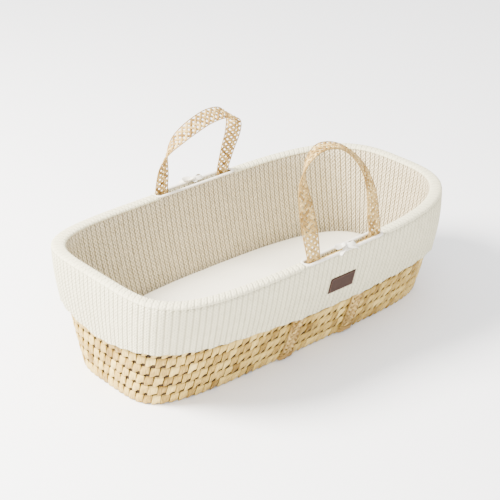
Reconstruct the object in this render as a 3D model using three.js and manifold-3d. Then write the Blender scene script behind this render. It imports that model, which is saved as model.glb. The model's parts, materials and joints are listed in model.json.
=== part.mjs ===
// Moses basket: a woven palm basket with a knitted liner folded over its rim, two braided
// strap handles and a fitted mattress.
// Units are millimetres. +X runs along the basket towards its head end, +Z is up, and the
// origin is on the floor under the middle of the base.
import * as THREE from 'three';
import { mergeVertices } from 'three/addons/utils/BufferGeometryUtils.js';
import Module from 'manifold-3d';

const wasm = await Module();
wasm.setup();

// ---------------------------------------------------------------- driving dimensions

// Woven shell, measured on the outer face of the wall.
const RIM_LENGTH = 834;
const RIM_WIDTH = 422.6;
const BASE_LENGTH = 790;
const BASE_WIDTH = 288;
const CREST_HEIGHT = 249; // top of the liner over the rim, at the middle of a long side
const HEAD_RISE = 5.5; // how much the head end of the crest is higher than its middle
const END_RISE = 7.7; // how much both ends of the crest sweep up
const WALL_BOW = 0.45; // how far the wall bulges between base and rim
const BASE_SQUARENESS = 4.8; // superellipse exponents of the outlines
const RIM_SQUARENESS = 4;
const HEAD_ROUNDING = 0.85; // the head end of the rim is this much rounder, the foot end squarer
const END_TAPER = -0.03; // the head end is this much narrower, the foot end wider
const WALL_THICKNESS = 8;
const BASE_THICKNESS = 10;
const BORDER_HEIGHT = 10;
const EDGE_ROUND = 2;

// Liner.
const LINER_THICKNESS = 5;
const FLOOR_PAD_THICKNESS = 8;
const VALANCE_THICKNESS = 4.3;
const VALANCE_PUFF = 2; // how far the valance stands out at half its depth
const HEM_HEIGHT = 114; // height of the valance's hem at the middle of a long side
const HEM_CORNER_LIFT = 17; // how much the gathered hem rises at the corners
const HEM_HEAD_DROP = 6;
const HEM_CORNER_DROP = 8;
const ELASTIC_WIDTH = 8;
const ELASTIC_THICKNESS = 1.2;

// Handle slots in the fold of the liner.
const SLOT_MARGIN = 7; // beyond each outer edge of the two straps
const BINDING_HEIGHT = 5;
const BINDING_WIDTH = 3;

// Braided straps and handles.
const STRAP_WIDTH = 32;
const STRAP_THICKNESS = 5;
const UNDER_STRAP_THICKNESS = 4;
const TIP_BEVEL = 0.7 * STRAP_THICKNESS; // a wall strap's top is bevelled, for a hanging handle
const TIP_EDGE = 0.2 * STRAP_THICKNESS; // thickness that the bevel leaves at the very top
const LEG_SPACING = 170; // between the middles of a handle's two legs
const NEAR_SHIFT = 20; // where the middle of the near handle is, along the basket
const FAR_SHIFT = -5;
const SLOT_LENGTH = LEG_SPACING + STRAP_WIDTH + 2 * SLOT_MARGIN;
const HANDLE_WIDTH = 28;
const HANDLE_HEIGHT = 200; // from the hinge line to the middle of the strap at the top
const HANDLE_LEAN = 15; // degrees that a resting handle leans inwards
const HINGE_RISE = 8; // from the crest to the hinge line

// Lashings over the straps at the base edge.
const LASHING_HEIGHT = 12;
const LASHING_WIDTH = 5;
const LASHING_THICKNESS = 2;

// Leather label on the near side.
const LABEL_LENGTH = 70;
const LABEL_HEIGHT = 37;
const LABEL_THICKNESS = 1.2;
const LABEL_CENTRE = 24;
const LABEL_BOTTOM = 153;
const STITCH_INSET = 2.5;
const STITCH_WIDTH = 1;

// Mattress and sheet.
const MATTRESS_END_GAP = 21; // from the liner to the mattress at its widest height
const MATTRESS_SIDE_GAP = 5.1;
const MATTRESS_SQUARENESS = 2.94;
const MATTRESS_TOP = 74; // height of the sheet's top over the floor
const SHEET_THICKNESS = 1.6;
const SHEET_TURN_UNDER = 45;
const UNDER_EASE = 2.1; // how much more than the basket's wall the mattress draws in below

// Clearances.
const GAP = 0.4;
const STRAP_GAP = 0.5;

const RING_SEGMENTS = 56;

// ------------------------------------------------------------------------- materials

const finish = (color, roughness) => new THREE.MeshStandardMaterial({ color, roughness, metalness: 0 });
const palm = finish(0xdcc08c, 0.7);
const palmStrap = finish(0xe0c690, 0.65);
const knit = finish(0xdedbd0, 0.95);
const knitInside = finish(0xd3c9b5, 0.95);
const cotton = finish(0xe9e5dd, 0.9);
const ribbon = finish(0xe6e0cf, 0.85);
const leather = finish(0x563e36, 0.6);
const thread = finish(0x6b5048, 0.8);
const foam = finish(0xefe9da, 1);
const elastic = finish(0xe8e6df, 0.8);

// ------------------------------------------------------------------ closed body makers

const mix = (from, to, share) => from + (to - from) * share;

// A closed geometry from points and triangles, turned so that its faces point out.
function closedGeometry(points, triangles) {
  let volume = 0;
  for (const [a, b, c] of triangles) {
    volume += points[a].dot(points[b].clone().cross(points[c]));
  }
  const facing = volume < 0 ? triangles.map(([a, b, c]) => [a, c, b]) : triangles;
  const geometry = new THREE.BufferGeometry();
  geometry.setAttribute('position', new THREE.Float32BufferAttribute(points.flatMap((p) => p.toArray()), 3));
  geometry.setIndex(facing.flat());
  return geometry;
}

// The two triangles of a quad with the corners a, b, c, d, split along its shorter diagonal, so
// that two skins that follow each other are split alike.
function quad(points, a, b, c, d) {
  if (points[a].distanceTo(points[c]) < points[b].distanceTo(points[d])) {
    return [[a, b, c], [a, c, d]];
  }
  return [[a, b, d], [b, c, d]];
}

// Joins sections that all have the same number of points, and caps both ends.
function loft(sections) {
  const points = sections.flat();
  const count = sections[0].length;
  const triangles = [];
  for (let row = 0; row + 1 < sections.length; row += 1) {
    for (let i = 0; i < count; i += 1) {
      const a = row * count + i;
      const b = row * count + ((i + 1) % count);
      triangles.push(...quad(points, a, b, b + count, a + count));
    }
  }
  const last = (sections.length - 1) * count;
  for (let i = 1; i + 1 < count; i += 1) {
    triangles.push([0, i + 1, i], [last, last + i, last + i + 1]);
  }
  return closedGeometry(points, triangles);
}

// Sweeps a closed section round the basket. section(theta) gives its points.
function ring(section) {
  const sections = [];
  for (let i = 0; i < RING_SEGMENTS; i += 1) {
    sections.push(section((2 * Math.PI * i) / RING_SEGMENTS));
  }
  const points = sections.flat();
  const count = sections[0].length;
  const total = RING_SEGMENTS * count;
  const triangles = [];
  for (let row = 0; row < RING_SEGMENTS; row += 1) {
    for (let i = 0; i < count; i += 1) {
      const a = row * count + i;
      const b = row * count + ((i + 1) % count);
      triangles.push(...quad(points, a, b, (b + count) % total, (a + count) % total));
    }
  }
  return closedGeometry(points, triangles);
}

// Sweeps an open section round the basket and closes it to one point on the axis at each end.
function dome(section, startHeight, endHeight) {
  const points = [];
  for (let i = 0; i < RING_SEGMENTS; i += 1) {
    points.push(...section((2 * Math.PI * i) / RING_SEGMENTS));
  }
  const count = points.length / RING_SEGMENTS;
  const total = points.length;
  const triangles = [];
  for (let row = 0; row < RING_SEGMENTS; row += 1) {
    const next = ((row + 1) * count) % total;
    const here = row * count;
    for (let i = 0; i + 1 < count; i += 1) {
      triangles.push(...quad(points, here + i, here + i + 1, next + i + 1, next + i));
    }
    triangles.push([total, here, next], [here + count - 1, total + 1, next + count - 1]);
  }
  points.push(new THREE.Vector3(0, 0, startHeight), new THREE.Vector3(0, 0, endHeight));
  return closedGeometry(points, triangles);
}

// A closed geometry as a manifold solid, and a manifold solid as a geometry.
function toSolid(geometry) {
  const bare = geometry.clone();
  bare.deleteAttribute('normal');
  bare.deleteAttribute('uv');
  const merged = mergeVertices(bare, 1e-4);
  return new wasm.Manifold(new wasm.Mesh({
    numProp: 3,
    vertProperties: new Float32Array(merged.attributes.position.array),
    triVerts: new Uint32Array(merged.index.array),
  }));
}

function toGeometry(solid) {
  const mesh = solid.getMesh();
  const geometry = new THREE.BufferGeometry();
  geometry.setAttribute('position', new THREE.BufferAttribute(new Float32Array(mesh.vertProperties), 3));
  geometry.setIndex(new THREE.BufferAttribute(new Uint32Array(mesh.triVerts), 1));
  return geometry;
}

function cut(geometry, ...tools) {
  return toGeometry(tools.reduce((solid, tool) => solid.subtract(toSolid(tool)), toSolid(geometry)));
}

function join(geometry, ...others) {
  return toGeometry(others.reduce((solid, other) => solid.add(toSolid(other)), toSolid(geometry)));
}

function common(geometry, other) {
  return toGeometry(toSolid(geometry).intersect(toSolid(other)));
}

function block(xLow, xHigh, yLow, yHigh, zLow, zHigh) {
  const box = new THREE.BoxGeometry(xHigh - xLow, yHigh - yLow, zHigh - zLow);
  return box.translate((xLow + xHigh) / 2, (yLow + yHigh) / 2, (zLow + zHigh) / 2);
}

// --------------------------------------------------------------- the basket's own form

// How far a superellipse reaches in the direction theta of its unit frame.
function reach(theta, squareness) {
  const across = Math.abs(Math.cos(theta)) ** squareness;
  const along = Math.abs(Math.sin(theta)) ** squareness;
  return (across + along) ** (-1 / squareness);
}

// Height of the crest in the direction theta.
function crest(theta) {
  const along = reach(theta, RIM_SQUARENESS) * Math.cos(theta);
  return CREST_HEIGHT + HEAD_RISE * along + END_RISE * along ** 4;
}

// How far the wall has flared at a share of its height, as a share of its whole flare.
function bulge(share) {
  return share + WALL_BOW * share * (1 - share);
}

// A point at the height z, out from the wall's outer face by d.
function wallPoint(theta, d, z) {
  const share = z / crest(theta);
  const bowed = bulge(share);
  const squareness = mix(BASE_SQUARENESS, RIM_SQUARENESS, share) - HEAD_ROUNDING * share * Math.cos(theta);
  const along = reach(theta, squareness) * Math.cos(theta);
  const across = reach(theta, squareness) * Math.sin(theta) * (1 + END_TAPER * share * along ** 3);
  const halfLength = mix(BASE_LENGTH, RIM_LENGTH, bowed) / 2 + d;
  const halfWidth = mix(BASE_WIDTH, RIM_WIDTH, bowed) / 2 + d;
  return new THREE.Vector3(halfLength * along, halfWidth * across, z);
}

// Distance from the long axis to the wall's outer face, at x along the basket and the height z.
function wallSide(x, z) {
  let low = Math.PI / 4;
  let high = (3 * Math.PI) / 4;
  for (let i = 0; i < 40; i += 1) {
    const middle = (low + high) / 2;
    if (wallPoint(middle, 0, z).x > x) {
      low = middle;
    } else {
      high = middle;
    }
  }
  return wallPoint(low, 0, z).y;
}

// A ring with the given [d, z] section, where z is measured from the crest when it is negative.
function wallRing(section) {
  return ring((theta) => section(theta).map(([d, z]) => wallPoint(theta, d, z)));
}

// Even steps from one height to another.
function heights(from, to, steps) {
  return Array.from({ length: steps + 1 }, (_, i) => mix(from, to, i / steps));
}

// A band that follows the wall on one long side: a block in the wall's own curved frame.
// side is -1 for the near side and 1 for the far side.
function sideBand(side, centre, width, dInner, dOuter, zLow, zHigh, steps) {
  return loft(heights(zLow, zHigh, steps).map((z) => sideSection(side, centre, width, dInner, dOuter, z)));
}

// One level section of such a band.
function sideSection(side, centre, width, dInner, dOuter, z) {
  const xLow = centre - width / 2;
  const xHigh = centre + width / 2;
  return [[xLow, dInner], [xHigh, dInner], [xHigh, dOuter], [xLow, dOuter]]
    .map(([x, d]) => new THREE.Vector3(x, side * (wallSide(x, z) + d), z));
}

// ------------------------------------------------------------------------ woven pieces

const SIDES = [
  { name: 'near', side: -1, shift: NEAR_SHIFT },
  { name: 'far', side: 1, shift: FAR_SHIFT },
];
const LEGS = [
  { name: 'foot', offset: -LEG_SPACING / 2 },
  { name: 'head', offset: LEG_SPACING / 2 },
];
const HINGE_HEIGHT = CREST_HEIGHT + HINGE_RISE;
const BORDER_TOP = LINER_THICKNESS + 2 * GAP; // below the crest
const BORDER_BOTTOM = BORDER_TOP + BORDER_HEIGHT;

// A strap's run under the base, as a flat block between the feet of its two wall lengths.
function underBlock(offset, width, bottom, top, overrun) {
  const span = wallSide(NEAR_SHIFT + offset, 0) + wallSide(FAR_SHIFT + offset, 0);
  const skew = (FAR_SHIFT - NEAR_SHIFT) / span;
  const ends = SIDES.map(({ side, shift }) => {
    const x = shift + offset;
    return { x: x + side * overrun * skew, y: side * (wallSide(x, 0) + overrun) };
  });
  const outline = new THREE.Shape([
    new THREE.Vector2(ends[0].x - width / 2, ends[0].y),
    new THREE.Vector2(ends[0].x + width / 2, ends[0].y),
    new THREE.Vector2(ends[1].x + width / 2, ends[1].y),
    new THREE.Vector2(ends[1].x - width / 2, ends[1].y),
  ]);
  const geometry = new THREE.ExtrudeGeometry(outline, { depth: top - bottom, bevelEnabled: false });
  return geometry.translate(0, 0, bottom);
}

function underChannels() {
  const width = STRAP_WIDTH + 2 * GAP;
  return LEGS.map(({ offset }) => underBlock(offset, width, -1, UNDER_STRAP_THICKNESS + GAP, 10));
}

function wovenBase() {
  const plate = dome((theta) => [
    wallPoint(theta, -WALL_THICKNESS - GAP - EDGE_ROUND, 0),
    wallPoint(theta, -WALL_THICKNESS - GAP, EDGE_ROUND),
    wallPoint(theta, -WALL_THICKNESS - GAP, BASE_THICKNESS),
  ], 0, BASE_THICKNESS);
  return cut(plate, ...underChannels());
}

// Levels that the wall and the liner's wall share, so that their flat facets stay parallel.
function wallLevels(theta) {
  return heights(FLOOR_PAD_TOP + GAP, crest(theta) - BORDER_BOTTOM - GAP, 5);
}

function wovenWall() {
  const wall = wallRing((theta) => {
    const levels = [3 * EDGE_ROUND, ...wallLevels(theta)];
    const outer = levels.map((z) => [0, z]);
    const inner = [...levels].reverse().map((z) => [-WALL_THICKNESS, z]);
    return [[-EDGE_ROUND, 0], ...outer, ...inner, [-WALL_THICKNESS, 0]];
  });
  return cut(wall, ...underChannels());
}

function rimBorder() {
  const corner = WALL_THICKNESS / 4;
  return wallRing((theta) => {
    const top = crest(theta) - BORDER_TOP;
    const bottom = crest(theta) - BORDER_BOTTOM;
    return [
      [-corner, bottom], [0, bottom + corner], [0, top - corner], [-corner, top],
      [corner - WALL_THICKNESS, top], [-WALL_THICKNESS, top - corner],
      [-WALL_THICKNESS, bottom + corner], [corner - WALL_THICKNESS, bottom],
    ];
  });
}

// A strap's length on the wall, from the floor to just under the handle's hinge.
function wallStrap(side, centre) {
  const top = HINGE_HEIGHT - STRAP_THICKNESS / 2 - GAP;
  const below = sideBand(side, centre, STRAP_WIDTH, STRAP_GAP, STRAP_GAP + STRAP_THICKNESS, GAP / 2, top, 9);
  const narrowing = (STRAP_WIDTH - HANDLE_WIDTH) / 2;
  const trims = [-1, 1].map((end) => {
    const edge = centre + end * (STRAP_WIDTH / 2);
    const xLow = end < 0 ? edge - 1 : edge - narrowing;
    const yMiddle = side * wallSide(centre, CREST_HEIGHT);
    return block(xLow, xLow + narrowing + 1, yMiddle - 20, yMiddle + 20, CREST_HEIGHT - BORDER_TOP, top + 1);
  });
  const tip = (z, dInner) => sideSection(side, centre, 2 * STRAP_WIDTH, dInner, 3 * STRAP_THICKNESS, z);
  const slope = (STRAP_THICKNESS - TIP_EDGE) / TIP_BEVEL;
  const inner = STRAP_GAP + TIP_EDGE;
  const bevel = loft([
    tip(top - TIP_BEVEL - 1, inner + slope * (TIP_BEVEL + 1)),
    tip(top, inner),
    tip(top + 1, inner - slope),
  ]);
  return cut(below, ...trims, bevel);
}

// A cord stitched over a strap at the base edge: an open loop with its ends at the wall.
function lashing(side, centre) {
  const outside = STRAP_GAP + STRAP_THICKNESS + GAP;
  const low = LASHING_HEIGHT;
  const high = LASHING_HEIGHT + LASHING_WIDTH;
  const width = STRAP_WIDTH + 2 * (GAP + LASHING_THICKNESS);
  const whole = sideBand(side, centre, width, STRAP_GAP, outside + LASHING_THICKNESS, low, high, 1);
  return cut(whole, sideBand(side, centre, STRAP_WIDTH + 2 * GAP, -5, outside, low - 1, high + 1, 1));
}

// --------------------------------------------------------------------------- handles

// Middle line of a handle in its own plane, from the foot leg to the head leg: x from the
// handle's middle and height over the hinge line, both as shares of the handle's own size,
// and the twist of the strap in degrees: 0 lies flat on the wall, 90 stands square to it.
// Both handles sag a little to one side, as soft straps do.
const HANDLE_ROUTES = {
  near: [
    [-1, 0, 0], [-1, 0.2, 5], [-1.01, 0.45, 20], [-1, 0.72, 45], [-0.78, 0.9, 70], [-0.3, 1, 105],
    [0.2, 0.96, 115], [0.64, 0.82, 130], [0.95, 0.62, 150], [1.06, 0.38, 170], [1.02, 0.17, 178], [1, 0, 180],
  ],
  far: [
    [-1, 0, 0], [-1.04, 0.15, 5], [-1.08, 0.3, 20], [-1.02, 0.46, 50], [-0.76, 0.6, 90], [-0.35, 0.71, 115],
    [0.1, 0.78, 120], [0.6, 0.77, 100], [0.97, 0.65, 60], [1.06, 0.48, 35], [1.02, 0.26, 15], [1, 0, 0],
  ],
};

function handleArch(name) {
  const route = HANDLE_ROUTES[name];
  const path = new THREE.CatmullRomCurve3(route.map(([x, z]) => (
    new THREE.Vector3((x * LEG_SPACING) / 2, 0, z * HANDLE_HEIGHT)
  )), false, 'centripetal');
  const steps = 30;
  const radius = STRAP_THICKNESS / 2;
  const section = (share, drop, halfThickness) => {
    const place = (share * (route.length - 1));
    const index = Math.min(Math.floor(place), route.length - 2);
    const twist = THREE.MathUtils.degToRad(mix(route[index][2], route[index + 1][2], place - index));
    const centre = path.getPoint(share);
    const tangent = share === 0 || share === 1
      ? new THREE.Vector3(0, 0, share === 0 ? 1 : -1)
      : path.getTangent(share);
    const inward = new THREE.Vector3(tangent.z, 0, -tangent.x);
    const wide = inward.multiplyScalar(Math.cos(twist)).add(new THREE.Vector3(0, Math.sin(twist), 0));
    const thin = new THREE.Vector3().crossVectors(tangent, wide).normalize().multiplyScalar(halfThickness);
    wide.multiplyScalar(HANDLE_WIDTH / 2);
    centre.z -= drop;
    return [[-1, -1], [1, -1], [1, 1], [-1, 1]].map(([w, t]) => (
      centre.clone().addScaledVector(wide, w).addScaledVector(thin, t)
    ));
  };
  // The end of each leg is a half round about the hinge line.
  const roundEnd = [80, 50, 25].map((angle) => THREE.MathUtils.degToRad(angle));
  const start = roundEnd.map((angle) => section(0, radius * Math.sin(angle), radius * Math.cos(angle)));
  const end = [...roundEnd].reverse()
    .map((angle) => section(1, radius * Math.sin(angle), radius * Math.cos(angle)));
  const arch = [];
  for (let i = 0; i <= steps; i += 1) {
    arch.push(section(i / steps, 0, radius));
  }
  return loft([...start, ...arch, ...end]);
}

// ----------------------------------------------------------------------------- liner

const VALANCE_INNER = STRAP_GAP + STRAP_THICKNESS + STRAP_GAP;
const LINER_INNER = -WALL_THICKNESS - STRAP_GAP - LINER_THICKNESS;
const FLOOR_PAD_TOP = BASE_THICKNESS + GAP + FLOOR_PAD_THICKNESS;
const CORNER_ROUND = 4;

function linerFloor() {
  const edge = -WALL_THICKNESS - STRAP_GAP - GAP;
  return dome((theta) => [
    wallPoint(theta, edge, BASE_THICKNESS + GAP),
    wallPoint(theta, edge, FLOOR_PAD_TOP),
  ], BASE_THICKNESS + GAP, FLOOR_PAD_TOP);
}

// The space of a handle slot, from the inner edge of the fold to the valance.
function slotSpace(side, shift, grow) {
  const half = SLOT_LENGTH / 2 + grow;
  const centre = side * wallSide(shift, CREST_HEIGHT);
  return block(shift - half, shift + half, centre - 60, centre + 60, CREST_HEIGHT - 30, CREST_HEIGHT + 30);
}

// A ring round the whole crest that a slot's cut and binding are taken from.
function crestRing(dInner, dOuter, below, above) {
  return wallRing((theta) => [
    [dInner, crest(theta) - below], [dOuter, crest(theta) - below],
    [dOuter, crest(theta) + above], [dInner, crest(theta) + above],
  ]);
}

const SLOT_INNER = -WALL_THICKNESS - BINDING_WIDTH;
const SLOT_OUTER = VALANCE_INNER + BINDING_WIDTH / 2;
const SLOT_DEPTH = LINER_THICKNESS + 2 * GAP;

function slotCut(side, shift) {
  return common(crestRing(SLOT_INNER - GAP, SLOT_OUTER + GAP, SLOT_DEPTH, 5), slotSpace(side, shift, GAP));
}

function slotBinding(side, shift) {
  const whole = common(
    crestRing(SLOT_INNER, SLOT_OUTER, BINDING_HEIGHT + GAP, -GAP),
    slotSpace(side, shift, 0),
  );
  const hole = common(
    crestRing(SLOT_INNER + BINDING_WIDTH, VALANCE_INNER, 20, 20),
    slotSpace(side, shift, -BINDING_WIDTH),
  );
  return cut(whole, hole);
}

// The liner's wall, with the fold that covers the rim.
function linerWall() {
  const outerFace = -WALL_THICKNESS - STRAP_GAP;
  const seam = VALANCE_INNER - GAP;
  const wall = wallRing((theta) => {
    const top = crest(theta);
    const under = top - LINER_THICKNESS - GAP;
    const levels = [...wallLevels(theta), under];
    const outer = levels.map((z) => [outerFace, z]);
    const inner = [...levels].reverse().map((z) => [LINER_INNER, z]);
    return [...outer, [seam, under], [seam, top - 1.5], [seam - CORNER_ROUND, top],
      [LINER_INNER + CORNER_ROUND, top], ...inner];
  });
  return cut(wall, ...SIDES.map(({ side, shift }) => slotCut(side, shift)));
}

function hem(theta) {
  const along = Math.cos(theta);
  const corner = Math.sin(2 * theta) ** 2;
  return HEM_HEIGHT - HEM_HEAD_DROP * along + (HEM_CORNER_LIFT - HEM_CORNER_DROP * along) * corner;
}

// A point of the valance, at a share of its depth from hem to crest and out by d from its
// inner face.
function valancePoint(theta, share, d) {
  const puff = VALANCE_PUFF * Math.sin(Math.PI * share);
  return wallPoint(theta, VALANCE_INNER + puff + d, mix(hem(theta), crest(theta) - 2, share));
}

function elasticRing(grow) {
  const low = 4 - grow;
  const high = 4 + ELASTIC_WIDTH + grow;
  const face = -grow * 6;
  const back = GAP + ELASTIC_THICKNESS + grow;
  return ring((theta) => {
    const depth = crest(theta) - 2 - hem(theta);
    const start = face < 0 ? face : GAP;
    return [[start, low], [back, low], [back, high], [start, high]]
      .map(([d, z]) => valancePoint(theta, z / depth, d));
  });
}

function valance() {
  const shares = heights(0, 1, 5);
  const skirt = ring((theta) => {
    const inner = shares.map((share) => valancePoint(theta, share, 0));
    const outer = [...shares].reverse().map((share) => (
      valancePoint(theta, share * 0.985, share === 1 ? VALANCE_THICKNESS / 2 : VALANCE_THICKNESS)
    ));
    return [...inner, ...outer];
  });
  return cut(skirt, elasticRing(GAP), ...SIDES.map(({ side, shift }) => slotCut(side, shift)));
}

// A ribbon tied in a bow across the middle of a slot: a knot, two loops and two tails.
const BOW_RISE = 0.7; // the bow's underside over the crest

function bow(side, shift) {
  const height = 8;
  const ribbonLoop = (end) => {
    const outline = new THREE.Shape().absellipse(end * 14, side * 2, 12, 6.5, 0, 2 * Math.PI, false, end * side * 0.3);
    outline.holes.push(new THREE.Path().absellipse(end * 14, side * 2, 9.5, 4, 0, 2 * Math.PI, true, end * side * 0.3));
    return new THREE.ExtrudeGeometry(outline, { depth: height, bevelEnabled: false, curveSegments: 6 });
  };
  const tail = (end) => {
    const outline = new THREE.Shape([
      new THREE.Vector2(0, 0), new THREE.Vector2(end * 20, side * 9),
      new THREE.Vector2(end * 18, side * 12), new THREE.Vector2(-end * 2, side * 3),
    ]);
    return new THREE.ExtrudeGeometry(outline, { depth: height / 2, bevelEnabled: false });
  };
  const knot = new THREE.SphereGeometry(6, 8, 6).scale(1, 1, 0.7).translate(0, 0, height / 2);
  const tied = join(knot, ribbonLoop(-1), ribbonLoop(1), tail(-1), tail(1));
  const middle = (SLOT_INNER + SLOT_OUTER) / 2;
  return tied.translate(shift, side * (wallSide(shift, CREST_HEIGHT) + middle), CREST_HEIGHT + BOW_RISE);
}

// ----------------------------------------------------------------------- leather label

function labelBand(inset, dInner, dOuter) {
  const low = LABEL_BOTTOM + inset;
  const high = LABEL_BOTTOM + LABEL_HEIGHT - inset;
  const length = LABEL_LENGTH - 2 * inset;
  const outside = VALANCE_INNER + VALANCE_PUFF + VALANCE_THICKNESS + GAP;
  return sideBand(-1, LABEL_CENTRE, length, outside + dInner, outside + dOuter, low, high, 4);
}

function labelStitching() {
  const low = LABEL_THICKNESS + GAP;
  const high = low + STITCH_WIDTH;
  const whole = labelBand(STITCH_INSET, low, high);
  return cut(whole, labelBand(STITCH_INSET + STITCH_WIDTH, low - 3, high + 3));
}

// ---------------------------------------------------------------------------- mattress

const MATTRESS_BOTTOM = FLOOR_PAD_TOP + GAP;
const WIDEST_SHARE = 0.82; // of the mattress's thickness, where it is widest

// The mattress fits the flaring basket: its outline follows the wall's size at its widest line,
// and its underside is as much smaller as the wall is there.
const WIDEST_HEIGHT = mix(MATTRESS_BOTTOM, MATTRESS_TOP, WIDEST_SHARE);
const WIDEST_FLARE = bulge(WIDEST_HEIGHT / CREST_HEIGHT);
const UNDER_FLARE = bulge(MATTRESS_BOTTOM / CREST_HEIGHT);
const MATTRESS_LENGTH = mix(BASE_LENGTH, RIM_LENGTH, WIDEST_FLARE) + 2 * (LINER_INNER - MATTRESS_END_GAP);
const MATTRESS_WIDTH = mix(BASE_WIDTH, RIM_WIDTH, WIDEST_FLARE) + 2 * (LINER_INNER - MATTRESS_SIDE_GAP);
const ROUND_UNDER = ((WIDEST_FLARE - UNDER_FLARE) * (RIM_WIDTH - BASE_WIDTH)) / 2 + UNDER_EASE;

function mattressPoint(theta, inset, z) {
  const along = reach(theta, MATTRESS_SQUARENESS) * Math.cos(theta);
  const across = reach(theta, MATTRESS_SQUARENESS) * Math.sin(theta);
  return new THREE.Vector3((MATTRESS_LENGTH / 2 - inset) * along, (MATTRESS_WIDTH / 2 - inset) * across, z);
}

// Side profile of the mattress from its underside to its top: inset from the widest line, and
// height as a share of the thickness. It follows the flare of the basket and is crowned on top.
const SIDE_PROFILE = [
  [1, 0], [0.8, 0.12], [0.42, 0.4], [0.1, 0.68], [0, WIDEST_SHARE], [0.12, 0.93], [0.5, 0.985], [1.8, 1],
];

function mattressSide(theta, shrink) {
  const bottom = MATTRESS_BOTTOM + shrink;
  const top = MATTRESS_TOP - shrink;
  return SIDE_PROFILE.map(([inset, height]) => (
    mattressPoint(theta, inset * ROUND_UNDER + shrink, mix(bottom, top, height))
  ));
}

function mattressCore() {
  const shrink = SHEET_THICKNESS + GAP;
  return dome((theta) => mattressSide(theta, shrink), MATTRESS_BOTTOM + shrink, MATTRESS_TOP - shrink + 0.6);
}

function fittedSheet() {
  const edge = (theta, z) => mattressPoint(theta, SHEET_TURN_UNDER, z);
  return dome((theta) => [
    ...mattressSide(theta, 0).reverse(),
    edge(theta, MATTRESS_BOTTOM),
    edge(theta, MATTRESS_BOTTOM + SHEET_THICKNESS),
    ...mattressSide(theta, SHEET_THICKNESS),
  ], MATTRESS_TOP + 0.6, MATTRESS_TOP - SHEET_THICKNESS + 0.6);
}

function sheetElastic() {
  const outer = SHEET_TURN_UNDER + GAP;
  const inner = outer + 2;
  return ring((theta) => [
    mattressPoint(theta, outer, MATTRESS_BOTTOM), mattressPoint(theta, outer, MATTRESS_BOTTOM + SHEET_THICKNESS),
    mattressPoint(theta, inner, MATTRESS_BOTTOM + SHEET_THICKNESS), mattressPoint(theta, inner, MATTRESS_BOTTOM),
  ]);
}

// ---------------------------------------------------------------------------- assembly

function piece(name, geometry, material) {
  const shown = geometry.index ? geometry.toNonIndexed() : geometry;
  shown.computeVertexNormals();
  const mesh = new THREE.Mesh(shown, material);
  mesh.name = name;
  return mesh;
}

const group = new THREE.Group();
const basket = new THREE.Group();
group.add(basket);

basket.add(
  piece('woven_base', wovenBase(), palm),
  piece('woven_wall', wovenWall(), palm),
  piece('rim_border', rimBorder(), palm),
);
for (const { name, offset } of LEGS) {
  const strap = underBlock(offset, STRAP_WIDTH, 0, UNDER_STRAP_THICKNESS, STRAP_GAP - GAP);
  basket.add(piece(`strap_under_${name}`, strap, palmStrap));
}
for (const { name: sideName, side, shift } of SIDES) {
  for (const { name: legName, offset } of LEGS) {
    const centre = shift + offset;
    basket.add(
      piece(`strap_${sideName}_${legName}`, wallStrap(side, centre), palmStrap),
      piece(`lashing_${sideName}_${legName}`, lashing(side, centre), palmStrap),
    );
  }
}
basket.add(
  piece('liner_floor', linerFloor(), knitInside),
  piece('liner_wall', linerWall(), knitInside),
  piece('valance', valance(), knit),
  piece('hem_elastic', elasticRing(0), elastic),
);
for (const { name, side, shift } of SIDES) {
  basket.add(
    piece(`slot_binding_${name}`, slotBinding(side, shift), cotton),
    piece(`tie_bow_${name}`, bow(side, shift), ribbon),
  );
}
basket.add(
  piece('label_patch', labelBand(0, 0, LABEL_THICKNESS), leather),
  piece('label_stitching', labelStitching(), thread),
);

for (const { name, side, shift } of SIDES) {
  const handle = new THREE.Group();
  const strapMiddle = STRAP_GAP + STRAP_THICKNESS / 2;
  handle.position.set(shift, side * (wallSide(shift, CREST_HEIGHT) + strapMiddle), HINGE_HEIGHT);
  handle.rotation.x = THREE.MathUtils.degToRad(side * HANDLE_LEAN);
  handle.add(piece(`handle_${name}`, handleArch(name), palmStrap));
  group.add(handle);
}

const mattress = new THREE.Group();
mattress.add(
  piece('mattress_core', mattressCore(), foam),
  piece('fitted_sheet', fittedSheet(), cotton),
  piece('sheet_elastic', sheetElastic(), elastic),
);
group.add(mattress);

export default group;
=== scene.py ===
"""Moses basket in Blender: plaited palm, knitted liner, strap handles and a fitted mattress.

Everything is built in metres in the frame's own axes: X along the basket towards its head end,
Y across it, Z up from the floor. The sizes come from the boxes of the frame's nodes.
"""

from __future__ import annotations

import json
import logging
import math
from dataclasses import dataclass, field
from enum import Enum

import bpy
import numpy as np
from mathutils import Matrix, Quaternion, Vector

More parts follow.
